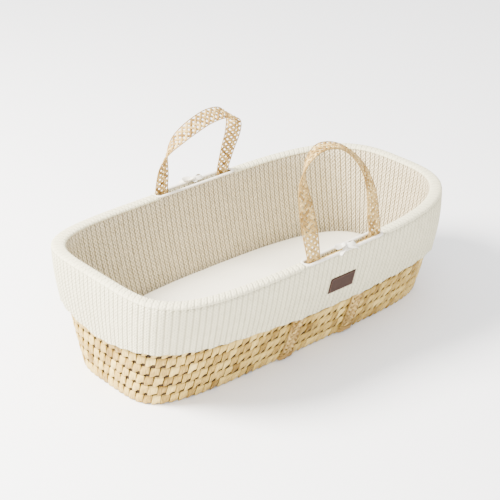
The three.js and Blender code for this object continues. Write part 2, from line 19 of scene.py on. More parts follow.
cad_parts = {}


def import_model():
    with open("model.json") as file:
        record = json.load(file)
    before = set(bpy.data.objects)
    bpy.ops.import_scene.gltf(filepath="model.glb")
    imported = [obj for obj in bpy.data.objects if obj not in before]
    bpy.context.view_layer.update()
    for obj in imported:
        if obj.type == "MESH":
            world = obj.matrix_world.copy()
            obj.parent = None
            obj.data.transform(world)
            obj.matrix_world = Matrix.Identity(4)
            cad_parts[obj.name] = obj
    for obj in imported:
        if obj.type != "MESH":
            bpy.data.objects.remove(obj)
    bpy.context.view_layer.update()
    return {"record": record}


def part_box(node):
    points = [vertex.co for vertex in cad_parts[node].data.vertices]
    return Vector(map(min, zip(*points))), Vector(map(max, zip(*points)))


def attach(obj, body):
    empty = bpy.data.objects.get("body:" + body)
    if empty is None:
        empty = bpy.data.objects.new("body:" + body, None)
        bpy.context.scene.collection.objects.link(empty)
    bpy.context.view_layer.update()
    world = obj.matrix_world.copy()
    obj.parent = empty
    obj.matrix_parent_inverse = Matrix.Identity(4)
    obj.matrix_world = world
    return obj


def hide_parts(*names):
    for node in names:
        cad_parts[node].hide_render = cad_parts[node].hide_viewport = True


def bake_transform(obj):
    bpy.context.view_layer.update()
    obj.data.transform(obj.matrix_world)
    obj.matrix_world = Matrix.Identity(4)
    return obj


LOG = logging.getLogger("moses_basket")
SEED = 20
STRAP_SPACING = 0.17  # between the middles of a handle's two legs
PATCH_PHASE = 1.37  # added to U from one patch to the next, so that their grain differs
UV_NAME = "UVMap"
TONE_NAME = "tone"
PLAIN_TONE = 0.5


class Side(Enum):
    """The two long sides. The value is the sign of Y."""

    NEAR = -1
    FAR = 1

    @property
    def word(self) -> str:
        """The side's word in the names of the frame's nodes."""
        return self.name.lower()


class End(Enum):
    """The two ends of the basket. The value is the sign of X."""

    FOOT = -1
    HEAD = 1

    @property
    def word(self) -> str:
        """The end's word in the names of the frame's nodes."""
        return self.name.lower()


# ------------------------------------------------------------------------------ meshes


@dataclass
class Surface:
    """A mesh in the making: points, faces, and what its materials read.

    Attributes:
        points: (n, 3) positions in metres.
        quads: (m, 4) vertex indices.
        corners: (m, 4, 2) UV of each quad's corners.
        caps: extra flat faces, each a list of vertex indices.
        tone: (n,) value from 0 to 1 that a finish may mix its colours by.
    """

    points: np.ndarray
    quads: np.ndarray
    corners: np.ndarray
    caps: list[list[int]] = field(default_factory=list)
    tone: np.ndarray | None = None

    def volume(self) -> float:
        """Returns the signed volume, which is positive where the faces look outward."""
        a, b, c, d = (self.points[self.quads[:, k]] for k in range(4))
        total = np.einsum("ij,ij->", a, np.cross(b, c)) + np.einsum("ij,ij->", a, np.cross(c, d))
        for cap in self.caps:
            loop = self.points[cap]
            total += np.einsum("j,ij->", loop[0], np.cross(loop[1:-1], loop[2:]))
        return float(total) / 6

    def turned_outward(self) -> Surface:
        """Returns the same surface with every face looking outward."""
        if self.volume() >= 0:
            return self
        return Surface(
            self.points,
            self.quads[:, ::-1],
            self.corners[:, ::-1],
            [cap[::-1] for cap in self.caps],
            self.tone,
        )

    @staticmethod
    def joined(surfaces: list[Surface]) -> Surface:
        """Returns one surface made of several separate ones.

        Args:
            surfaces: the surfaces, each of which is closed by itself.
        """
        surfaces = [one.turned_outward() for one in surfaces]
        starts = np.cumsum([0] + [len(one.points) for one in surfaces[:-1]])
        tones = [np.full(len(s.points), PLAIN_TONE) if s.tone is None else s.tone for s in surfaces]
        caps = [[i + int(start) for i in cap] for s, start in zip(surfaces, starts) for cap in s.caps]
        return Surface(
            np.concatenate([one.points for one in surfaces]),
            np.concatenate([one.quads + start for one, start in zip(surfaces, starts)]),
            np.concatenate([one.corners for one in surfaces]),
            caps,
            np.concatenate(tones),
        )

    def made(self, name: str, material: bpy.types.Material, smooth: bool = True) -> bpy.types.Object:
        """Makes the Blender object.

        Args:
            name: the piece's name.
            material: its only material.
            smooth: whether its faces are shaded smooth.

        Returns:
            The linked object, which stands unturned at the origin.
        """
        whole = self.turned_outward()
        faces = whole.quads.tolist() + whole.caps
        mesh = bpy.data.meshes.new(name)
        mesh.from_pydata(whole.points.tolist(), [], faces)
        cap_corners = sum(len(cap) for cap in whole.caps)
        uv = np.concatenate([whole.corners.reshape(-1, 2), np.zeros((cap_corners, 2))])
        mesh.uv_layers.new(name=UV_NAME).uv.foreach_set("vector", uv.astype(np.float32).ravel())
        tone = np.full(len(whole.points), PLAIN_TONE) if whole.tone is None else whole.tone
        mesh.attributes.new(TONE_NAME, "FLOAT", "POINT").data.foreach_set("value", tone.astype(np.float32))
        mesh.polygons.foreach_set("use_smooth", np.full(len(faces), smooth))
        mesh.materials.append(material)
        mesh.update()
        made = bpy.data.objects.new(name, mesh)
        bpy.context.scene.collection.objects.link(made)
        LOG.info("%s: %d points, %d faces", name, len(whole.points), len(faces))
        return made


def swept(sections: np.ndarray, along: np.ndarray, around: np.ndarray, closed_path: bool) -> Surface:
    """Joins closed sections into a closed solid.

    Args:
        sections: (rows, count, 3) points. Each row is one closed section.
        along: the U of each row, and of the first one again where the path is closed.
        around: (count + 1,) the V of each point of a section, and of the first one again.
        closed_path: whether the last section joins the first. If not, both ends are capped.

    Returns:
        The surface.
    """
    rows, count = sections.shape[:2]
    i, j = np.meshgrid(np.arange(rows if closed_path else rows - 1), np.arange(count), indexing="ij")
    after, beside = (i + 1) % rows, (j + 1) % count
    quads = np.stack([i * count + j, i * count + beside, after * count + beside, after * count + j], -1)
    u = np.stack([along[i], along[i], along[i + 1], along[i + 1]], -1)
    v = np.stack([around[j], around[j + 1], around[j + 1], around[j]], -1)
    caps = []
    if not closed_path:
        last = (rows - 1) * count
        caps = [list(range(count))[::-1], list(range(last, last + count))]
    return Surface(
        sections.reshape(-1, 3),
        quads.reshape(-1, 4),
        np.stack([u, v], -1).reshape(-1, 4, 2),
        caps,
    )


def thin_patches(front: np.ndarray, back: np.ndarray, tone: np.ndarray) -> Surface:
    """Closes many thin patches, each from its front and back grids.

    Args:
        front: (patches, rows, columns, 3) outer points.
        back: the same for the inner points.
        tone: (patches,) one tone for each patch.

    Returns:
        One surface that holds all the patches.
    """
    patches, rows, columns = front.shape[:3]
    size = rows * columns
    index = np.arange(size).reshape(rows, columns)
    face = np.stack([index[:-1, :-1], index[:-1, 1:], index[1:, 1:], index[1:, :-1]], -1).reshape(-1, 4)
    rim = np.concatenate([index[0, :-1], index[:-1, -1], index[-1, :0:-1], index[:0:-1, 0]])
    following = np.roll(rim, -1)
    edge = np.stack([following, rim, rim + size, following + size], -1)
    one = np.concatenate([face, face[:, ::-1] + size, edge])
    quads = (one[None] + 2 * size * np.arange(patches)[:, None, None]).reshape(-1, 4)
    v, u = np.meshgrid(np.linspace(0, 1, rows), np.linspace(0, 1, columns), indexing="ij")
    flat = np.tile(np.stack([u, v], -1).reshape(-1, 2), (2, 1))
    corners = np.tile(flat[one], (patches, 1, 1)).astype(float)
    corners[..., 0] += np.repeat(np.arange(patches) * PATCH_PHASE, len(one))[:, None]
    points = np.stack([front.reshape(patches, size, 3), back.reshape(patches, size, 3)], 1)
    return Surface(points.reshape(-1, 3), quads, corners, [], np.repeat(tone, 2 * size))


def unit(vectors: np.ndarray) -> np.ndarray:
    """Returns the vectors of the last axis scaled to length one."""
    return vectors / np.maximum(np.linalg.norm(vectors, axis=-1, keepdims=True), 1e-12)


def lengths(path: np.ndarray) -> np.ndarray:
    """Returns the distance along a path at each of its points."""
    return np.concatenate([[0], np.cumsum(np.linalg.norm(np.diff(path, axis=0), axis=1))])


def tangents(path: np.ndarray) -> np.ndarray:
    """Returns the direction of an open path at each of its points."""
    return unit(np.gradient(path, axis=0))


def flat_tube(
    path: np.ndarray,
    wide: np.ndarray,
    half_width: float,
    half_thickness: float,
    segments: int,
    phase: float = 0,
) -> Surface:
    """Sweeps an ellipse along an open path.

    Args:
        path: (n, 3) middle line.
        wide: (n, 3) rough direction of the ellipse's long axis.
        half_width: half the long axis.
        half_thickness: half the short axis.
        segments: points of the ellipse.
        phase: added to U, so that tubes side by side differ.

    Returns:
        The closed tube. U is the distance along it in metres and V goes once round it.
    """
    tangent = tangents(path)
    thin = unit(np.cross(tangent, wide))
    across = np.cross(thin, tangent)
    angle = np.linspace(0, 2 * math.pi, segments, endpoint=False)
    sections = (
        path[:, None]
        + across[:, None] * (half_width * np.cos(angle))[None, :, None]
        + thin[:, None] * (half_thickness * np.sin(angle))[None, :, None]
    )
    return swept(sections, lengths(path) + phase, np.linspace(0, 1, segments + 1), False)


def superellipse_reach(theta: np.ndarray, squareness: np.ndarray) -> np.ndarray:
    """Returns the radius of a unit superellipse: (|cos|^n + |sin|^n)^(-1/n)."""
    powers = np.abs(np.cos(theta)) ** squareness + np.abs(np.sin(theta)) ** squareness
    return powers ** (-1 / squareness)


def mix(start: np.ndarray, end: np.ndarray, share: np.ndarray) -> np.ndarray:
    """Returns the value at a share of the way from start to end."""
    return start + (end - start) * share


# ------------------------------------------------------------------------------- finishes


class Graph:
    """The node tree of one material, with its shader and output joined."""

    specular: float = 0.12

    def __init__(self, name: str, roughness: float) -> None:
        self.material = bpy.data.materials.new(name)
        self.material.use_nodes = True
        self.tree = self.material.node_tree
        self.tree.nodes.clear()
        self.shader = self.node("ShaderNodeBsdfPrincipled")
        self.shader.inputs["Roughness"].default_value = roughness
        self.shader.inputs["Specular IOR Level"].default_value = self.specular
        output = self.node("ShaderNodeOutputMaterial")
        self.tree.links.new(self.shader.outputs["BSDF"], output.inputs["Surface"])

    def node(self, kind: str, **settings: object) -> bpy.types.Node:
        """Adds a node.

        Args:
            kind: the node's Blender type.
            settings: its properties.
        """
        made = self.tree.nodes.new(kind)
        for key, value in settings.items():
            setattr(made, key, value)
        return made

    def feed(self, socket: bpy.types.NodeSocket, value: object) -> None:
        """Joins an output to a socket, or sets the socket where the value is a constant."""
        if isinstance(value, bpy.types.NodeSocket):
            self.tree.links.new(value, socket)
        else:
            socket.default_value = value

    def math(self, operation: str, a: object, b: object = 0.0) -> bpy.types.NodeSocket:
        """Returns the result of a math node on one or two values."""
        made = self.node("ShaderNodeMath", operation=operation)
        self.feed(made.inputs[0], a)
        self.feed(made.inputs[1], b)
        return made.outputs[0]

    def total(self, *values: object) -> bpy.types.NodeSocket:
        """Returns the sum of the values."""
        result = values[0]
        for value in values[1:]:
            result = self.math("ADD", result, value)
        return result

    def centred(self, value: object, contrast: float) -> bpy.types.NodeSocket:
        """Returns a value from 0 to 1 as one around zero: (value - 1/2) contrast."""
        return self.math("MULTIPLY", self.math("SUBTRACT", value, 0.5), contrast)

    def clamped(self, value: object) -> bpy.types.NodeSocket:
        """Returns the value kept from 0 to 1."""
        made = self.node("ShaderNodeClamp")
        self.feed(made.inputs[0], value)
        return made.outputs[0]

    def blend(self, share: object, low: tuple, high: tuple) -> bpy.types.NodeSocket:
        """Returns the mix of two colours, each a colour or a socket."""
        made = self.node("ShaderNodeMix", data_type="RGBA")
        self.feed(made.inputs["Factor"], share)
        self.feed(made.inputs[6], low if isinstance(low, bpy.types.NodeSocket) else (*low, 1))
        self.feed(made.inputs[7], high if isinstance(high, bpy.types.NodeSocket) else (*high, 1))
        return made.outputs[2]

    def noise(self, vector: object, scale: float, detail: float = 3.0) -> bpy.types.NodeSocket:
        """Returns the value of a noise texture, from 0 to 1."""
        made = self.node("ShaderNodeTexNoise")
        self.feed(made.inputs["Vector"], vector)
        made.inputs["Scale"].default_value = scale
        made.inputs["Detail"].default_value = detail
        return made.outputs["Fac"]

    def place(self) -> bpy.types.NodeSocket:
        """Returns the Object coordinates, in metres."""
        return self.node("ShaderNodeTexCoord").outputs["Object"]

    def uv(self) -> tuple[bpy.types.NodeSocket, bpy.types.NodeSocket]:
        """Returns U and V."""
        parts = self.node("ShaderNodeSeparateXYZ")
        self.feed(parts.inputs[0], self.node("ShaderNodeUVMap", uv_map=UV_NAME).outputs[0])
        return parts.outputs[0], parts.outputs[1]

    def joined(self, x: object, y: object, z: object = 0.0) -> bpy.types.NodeSocket:
        """Returns a vector of three values."""
        made = self.node("ShaderNodeCombineXYZ")
        for socket, value in zip(made.inputs, (x, y, z)):
            self.feed(socket, value)
        return made.outputs[0]

    def tone(self) -> bpy.types.NodeSocket:
        """Returns the mesh's tone attribute."""
        return self.node("ShaderNodeAttribute", attribute_name=TONE_NAME).outputs["Fac"]

    def bump(self, height: object, distance: float, strength: float = 1.0) -> None:
        """Gives the shader a bumpy normal.

        Args:
            height: the height, where 1 stands out by the distance.
            distance: that distance in metres.
            strength: how much of the bump is used.
        """
        made = self.node("ShaderNodeBump")
        made.inputs["Strength"].default_value = strength
        made.inputs["Distance"].default_value = distance
        self.feed(made.inputs["Height"], height)
        self.feed(self.shader.inputs["Normal"], made.outputs["Normal"])

    def color(self, value: object) -> None:
        """Gives the shader its base colour."""
        self.feed(self.shader.inputs["Base Color"], (*value, 1) if isinstance(value, tuple) else value)


@dataclass(frozen=True)
class PalmFinish:
    """Split palm leaf: pale straw with a lengthwise grain and leaves of different tone."""

    name: str
    dark: tuple = (0.15, 0.08, 0.014)
    middle: tuple = (0.46, 0.3, 0.07)
    light: tuple = (0.78, 0.58, 0.19)
    roughness: float = 0.45
    grain_across: float = 9.0
    grain_along: float = 0.6
    grain_depth: float = 0.001
    grain_contrast: float = 1.8
    patch_scale: float = 34.0
    patch_contrast: float = 0.5

    def material(self) -> bpy.types.Material:
        """Returns the material. U runs across a leaf and V along it."""
        graph = Graph(self.name, self.roughness)
        u, v = graph.uv()
        stretched = graph.joined(
            graph.math("MULTIPLY", u, self.grain_across), graph.math("MULTIPLY", v, self.grain_along)
        )
        fibre = graph.noise(stretched, 2.0, 4.0)
        patchy = graph.noise(graph.place(), self.patch_scale, 2.0)
        tone = graph.math("ADD", graph.centred(patchy, self.patch_contrast), graph.tone())
        tone = graph.math("ADD", tone, graph.centred(fibre, self.grain_contrast))
        low = graph.blend(graph.math("MULTIPLY", tone, 2.0), self.dark, self.middle)
        high = graph.math("MULTIPLY", graph.math("SUBTRACT", tone, 0.5), 2.0)
        graph.color(graph.blend(graph.clamped(high), low, self.light))
        graph.bump(fibre, self.grain_depth, 0.8)
        return graph.material


@dataclass(frozen=True)
class KnitFinish:
    """Cabled cotton knit: two strands cross over each other up each rib, like a chain.

    The strands' middles are at 1/2 + swing sin(2 pi v) and 1/2 - swing sin(2 pi v) across the rib.
    Every second rib is a quarter of a turn ahead, so that the crossings are staggered. The colour is darkened
    in the hollows between the strands and in the furrows at the ribs' edges, as painted shade.
    """

    name: str
    light: tuple = (0.74, 0.69, 0.48)
    dark: tuple = (0.38, 0.34, 0.21)
    roughness: float = 0.95
    swing: float = 0.27
    strand_half: float = 0.24
    stitch_depth: float = 0.0016
    # Painted shade: how far the colour darkens in the hollows between the strands, and in the furrows at the
    # ribs' edges.
    stitch_shade: float = 0.36
    furrow: float = 0.05
    wander_scale: float = 60.0
    wander_turn: float = 2.4
    wander_contrast: float = 0.5
    yarn_scale: float = 1100.0
    yarn_contrast: float = 0.35
    yarn_height: float = 0.3

    def material(self) -> bpy.types.Material:
        """Returns the material. U counts ribs and V counts stitches."""
        graph = Graph(self.name, self.roughness)
        u, v = graph.uv()
        wander = graph.noise(graph.place(), self.wander_scale, 2.0)
        across = graph.math("SUBTRACT", graph.math("FRACT", u), 0.5)
        turn = graph.total(
            graph.math("MULTIPLY", v, 2 * math.pi),
            graph.math("MULTIPLY", wander, self.wander_turn),
            graph.math("MULTIPLY", graph.math("MODULO", graph.math("FLOOR", u), 2.0), math.pi / 2),
        )
        swing = graph.math("MULTIPLY", graph.math("SINE", turn), self.swing)
        strands = [
            graph.math("POWER", graph.math("DIVIDE", graph.math(side, across, swing), self.strand_half), 2.0)
            for side in ("ADD", "SUBTRACT")
        ]
        hollow = graph.math("MINIMUM", graph.math("MINIMUM", *strands), 1.0)
        edge = graph.math("POWER", graph.math("MULTIPLY", graph.math("ABSOLUTE", across), 2.0), 6.0)
        yarn = graph.noise(graph.place(), self.yarn_scale, 2.0)
        # Share of the dark colour: painted shade in the hollows and furrows, plus the real tone of the yarn
        # and the wander noise.
        shade = graph.total(
            graph.math("MULTIPLY", graph.math("POWER", hollow, 1.6), self.stitch_shade),
            graph.math("MULTIPLY", edge, self.furrow),
            graph.centred(yarn, self.yarn_contrast),
            graph.centred(wander, self.wander_contrast),
        )
        graph.color(graph.blend(graph.clamped(shade), self.light, self.dark))
        height = graph.math("SUBTRACT", graph.math("MULTIPLY", yarn, self.yarn_height), hollow)
        graph.bump(graph.math("SUBTRACT", height, edge), self.stitch_depth)
        return graph.material


@dataclass(frozen=True)
class ClothFinish:
    """A plain soft material: cloth, ribbon, elastic or filling."""

    name: str
    color: tuple
    shade: tuple
    roughness: float = 0.9
    weave_scale: float = 900.0
    weave_depth: float = 0.0003
    soft_scale: float = 14.0
    contrast: float = 0.4

    def material(self) -> bpy.types.Material:
        """Returns the material."""
        graph = Graph(self.name, self.roughness)
        place = graph.place()
        weave = graph.noise(place, self.weave_scale, 2.0)
        soft = graph.noise(place, self.soft_scale, 2.0)
        share = graph.math("MULTIPLY", graph.math("ADD", weave, soft), self.contrast)
        graph.color(graph.blend(share, self.color, self.shade))
        graph.bump(weave, self.weave_depth, 0.6)
        return graph.material


@dataclass(frozen=True)
class LeatherFinish:
    """Matt brown leather with a fine grain."""

    name: str
    color: tuple = (0.024, 0.011, 0.007)
    worn: tuple = (0.042, 0.02, 0.014)
    roughness: float = 0.55
    grain_scale: float = 900.0
    grain_depth: float = 0.0002
    patch_scale: float = 120.0

    def material(self) -> bpy.types.Material:
        """Returns the material."""
        graph = Graph(self.name, self.roughness)
        place = graph.place()
        grain = graph.noise(place, self.grain_scale, 4.0)
        graph.color(graph.blend(graph.noise(place, self.patch_scale, 3.0), self.color, self.worn))
        graph.bump(grain, self.grain_depth, 0.7)
        return graph.material


@dataclass(frozen=True)
class Finishes:
    """All the materials of the basket."""

    weave: bpy.types.Material
    backing: bpy.types.Material
    braid: bpy.types.Material
    knit_outside: bpy.types.Material
    knit_inside: bpy.types.Material
    knit_crest: bpy.types.Material
    sheet: bpy.types.Material
    binding: bpy.types.Material
    ribbon: bpy.types.Material
    leather: bpy.types.Material
    thread: bpy.types.Material
    filling: bpy.types.Material
    elastic: bpy.types.Material

    @staticmethod
    def made() -> Finishes:
        """Makes every material once."""
        return Finishes(
            weave=PalmFinish("palm_weave_finish").material(),
            # Near-black palm for the shell behind the leaves: painted shade that shows in the gaps of the
            # plait.
            backing=PalmFinish(
                "palm_backing_finish",
                dark=(0.012, 0.006, 0.002),
                middle=(0.025, 0.014, 0.005),
                light=(0.07, 0.04, 0.016),
            ).material(),
            braid=PalmFinish(
                "palm_braid_finish",
                dark=(0.1, 0.045, 0.01),
                middle=(0.34, 0.2, 0.05),
                light=(0.74, 0.53, 0.2),
                roughness=0.38,
                grain_across=160.0,
                grain_along=5.0,
            ).material(),
            # Each knit darkens its colour in the hollows between strands and in the rib furrows, as painted
            # shade.
            knit_outside=KnitFinish("knit_outside_finish").material(),
            knit_inside=KnitFinish(
                "knit_inside_finish",
                light=(0.88, 0.76, 0.51),
                dark=(0.33, 0.26, 0.14),
                swing=0.3,
                strand_half=0.21,
                stitch_depth=0.0035,
                stitch_shade=0.7,
                furrow=0.0,
            ).material(),
            knit_crest=KnitFinish(
                "knit_crest_finish", stitch_depth=0.0008, stitch_shade=0.14, furrow=0.0
            ).material(),
            sheet=ClothFinish(
                "sheet_finish", (0.81, 0.77, 0.64), (0.73, 0.68, 0.55), weave_scale=700.0
            ).material(),
            binding=ClothFinish("binding_finish", (0.78, 0.74, 0.65), (0.64, 0.59, 0.49)).material(),
            ribbon=ClothFinish(
                "ribbon_finish", (0.82, 0.79, 0.7), (0.7, 0.66, 0.56), roughness=0.7
            ).material(),
            leather=LeatherFinish("leather_finish").material(),
            thread=ClothFinish("thread_finish", (0.2, 0.12, 0.09), (0.13, 0.08, 0.06)).material(),
            filling=ClothFinish(
                "filling_finish", (0.82, 0.78, 0.68), (0.66, 0.6, 0.5), weave_scale=150.0
            ).material(),
            elastic=ClothFinish(
                "elastic_finish", (0.8, 0.78, 0.73), (0.62, 0.6, 0.55), weave_scale=1500.0
            ).material(),
        )


# ------------------------------------------------------------------------------- form


@dataclass(frozen=True)
class BasketForm:
    """The basket's shape as formulas of the angle round it and the height over the floor.

    The wall is a superellipse in plan. Its size, and how square it is, change from base to rim.
    """

    rim_half_length: float
    rim_half_width: float
    base_half_length: float
    base_half_width: float
    crest_height: float
    head_rise: float = 0.0055
    end_rise: float = 0.0077
    wall_bow: float = 0.45
    base_squareness: float = 4.8
    rim_squareness: float = 4.0
    head_rounding: float = 0.85
    end_taper: float = -0.03
    wall_thickness: float = 0.008
    fold_reach: float = 0.0056
    valance_inner: float = 0.006
    valance_thickness: float = 0.0043
    valance_puff: float = 0.002
    hem_height: float = 0.114
    hem_corner_lift: float = 0.017
    hem_head_drop: float = 0.006
    hem_corner_drop: float = 0.008
    base_inset: float = 0.0084

    @staticmethod
    def measured() -> BasketForm:
        """Returns the form with its sizes taken from the frame's boxes."""
        plain = BasketForm(1, 1, 1, 1, 1)
        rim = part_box("liner_wall")[1]
        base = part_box("woven_base")[1]
        crest_height = rim.z - plain.head_rise - plain.end_rise
        flare = plain.bulge(base.z / crest_height)
        rim_half = np.array([rim.x, rim.y]) - plain.fold_reach
        base_half = (np.array([base.x, base.y]) + plain.base_inset - rim_half * flare) / (1 - flare)
        return BasketForm(*rim_half, *base_half, crest_height)

    def bulge(self, share: np.ndarray) -> np.ndarray:
        """Returns the share of the flare reached at a share of the height: s + bow s (1 - s)."""
        return share + self.wall_bow * share * (1 - share)

    def crest(self, theta: np.ndarray) -> np.ndarray:
        """Returns the height of the liner's top: it rises to the head and sweeps up at both ends."""
        along = superellipse_reach(theta, self.rim_squareness) * np.cos(theta)
        return self.crest_height + self.head_rise * along + self.end_rise * along**4

    def wall(self, theta: np.ndarray, out: np.ndarray, z: np.ndarray) -> np.ndarray:
        """Returns points at a distance out from the wall's outer face.

        Args:
            theta: angle round the basket.
            out: distance outward, in metres.
            z: height over the floor.
        """
        theta, out, z = np.broadcast_arrays(theta, out, z)
        share = z / self.crest(theta)
        flare = self.bulge(share)
        squareness = mix(self.base_squareness, self.rim_squareness, share)
        squareness = squareness - self.head_rounding * share * np.cos(theta)
        radius = superellipse_reach(theta, squareness)
        along = radius * np.cos(theta)
        across = radius * np.sin(theta) * (1 + self.end_taper * share * along**3)
        x = (mix(self.base_half_length, self.rim_half_length, flare) + out) * along
        y = (mix(self.base_half_width, self.rim_half_width, flare) + out) * across
        return np.stack([x, y, z], -1)

    def side_angle(self, side: Side, x: np.ndarray, z: np.ndarray) -> np.ndarray:
        """Returns the angle at which the wall has that x, found by halving. X falls as it grows."""
        x, z = np.broadcast_arrays(np.asarray(x, float), np.asarray(z, float))
        low, high = np.full(x.shape, 1e-3), np.full(x.shape, math.pi - 1e-3)
        for _ in range(40):
            middle = (low + high) / 2
            beyond = self.wall(middle, 0, z)[..., 0] > x
            low, high = np.where(beyond, middle, low), np.where(beyond, high, middle)
        return low * side.value

    def side(self, side: Side, x: np.ndarray, out: np.ndarray, z: np.ndarray) -> np.ndarray:
        """Returns points on a long side at the given x, out and z, with out measured along Y."""
        x, out, z = np.broadcast_arrays(np.asarray(x, float), np.asarray(out, float), np.asarray(z, float))
        y = np.abs(self.wall(self.side_angle(side, x, z), 0, z)[..., 1])
        return np.stack([x, side.value * (y + out), z], -1)

    def hem(self, theta: np.ndarray) -> np.ndarray:
        """Returns the height of the valance's hem, which is gathered up at the corners."""
        along, corner = np.cos(theta), np.sin(2 * theta) ** 2
        lift = self.hem_corner_lift - self.hem_corner_drop * along
        return self.hem_height - self.hem_head_drop * along + lift * corner

    def around(self, count: int, height: float) -> np.ndarray:
        """Returns angles that are evenly spaced along the wall at a share of its height.

        Args:
            count: number of steps.
            height: height over the floor at which the steps are even.

        Returns:
            (count + 1,) angles from 0 to a full turn.
        """
        fine = np.linspace(0, 2 * math.pi, 6001)
        distance = lengths(self.wall(fine, 0, height))
        return np.interp(np.linspace(0, distance[-1], count + 1), distance, fine)


@dataclass(frozen=True)
class Ribs:
    """The ribs of the knit, counted round the basket from the middle of the head end."""

    form: BasketForm
    count: int = 176
    samples: int = 5

    def angles(self) -> tuple[np.ndarray, np.ndarray]:
        """Returns evenly spaced angles round the rim, and the rib number at each."""
        steps = self.count * self.samples
        return self.form.around(steps, self.form.crest_height), np.arange(steps + 1) / self.samples

    def number(self, theta: np.ndarray) -> np.ndarray:
        """Returns the rib number at any angles, also beyond a full turn."""
        known, ribs = self.angles()
        turns = np.floor(theta / (2 * math.pi))
        return np.interp(theta - turns * 2 * math.pi, known, ribs) + turns * self.count

    @staticmethod
    def relief(number: np.ndarray) -> np.ndarray:
        """Returns the height of the ribs from 0 in a furrow to 1: |sin(pi u)| to the power 0.6."""
        return np.abs(np.sin(math.pi * number)) ** 0.6


# ------------------------------------------------------------------------------- palm


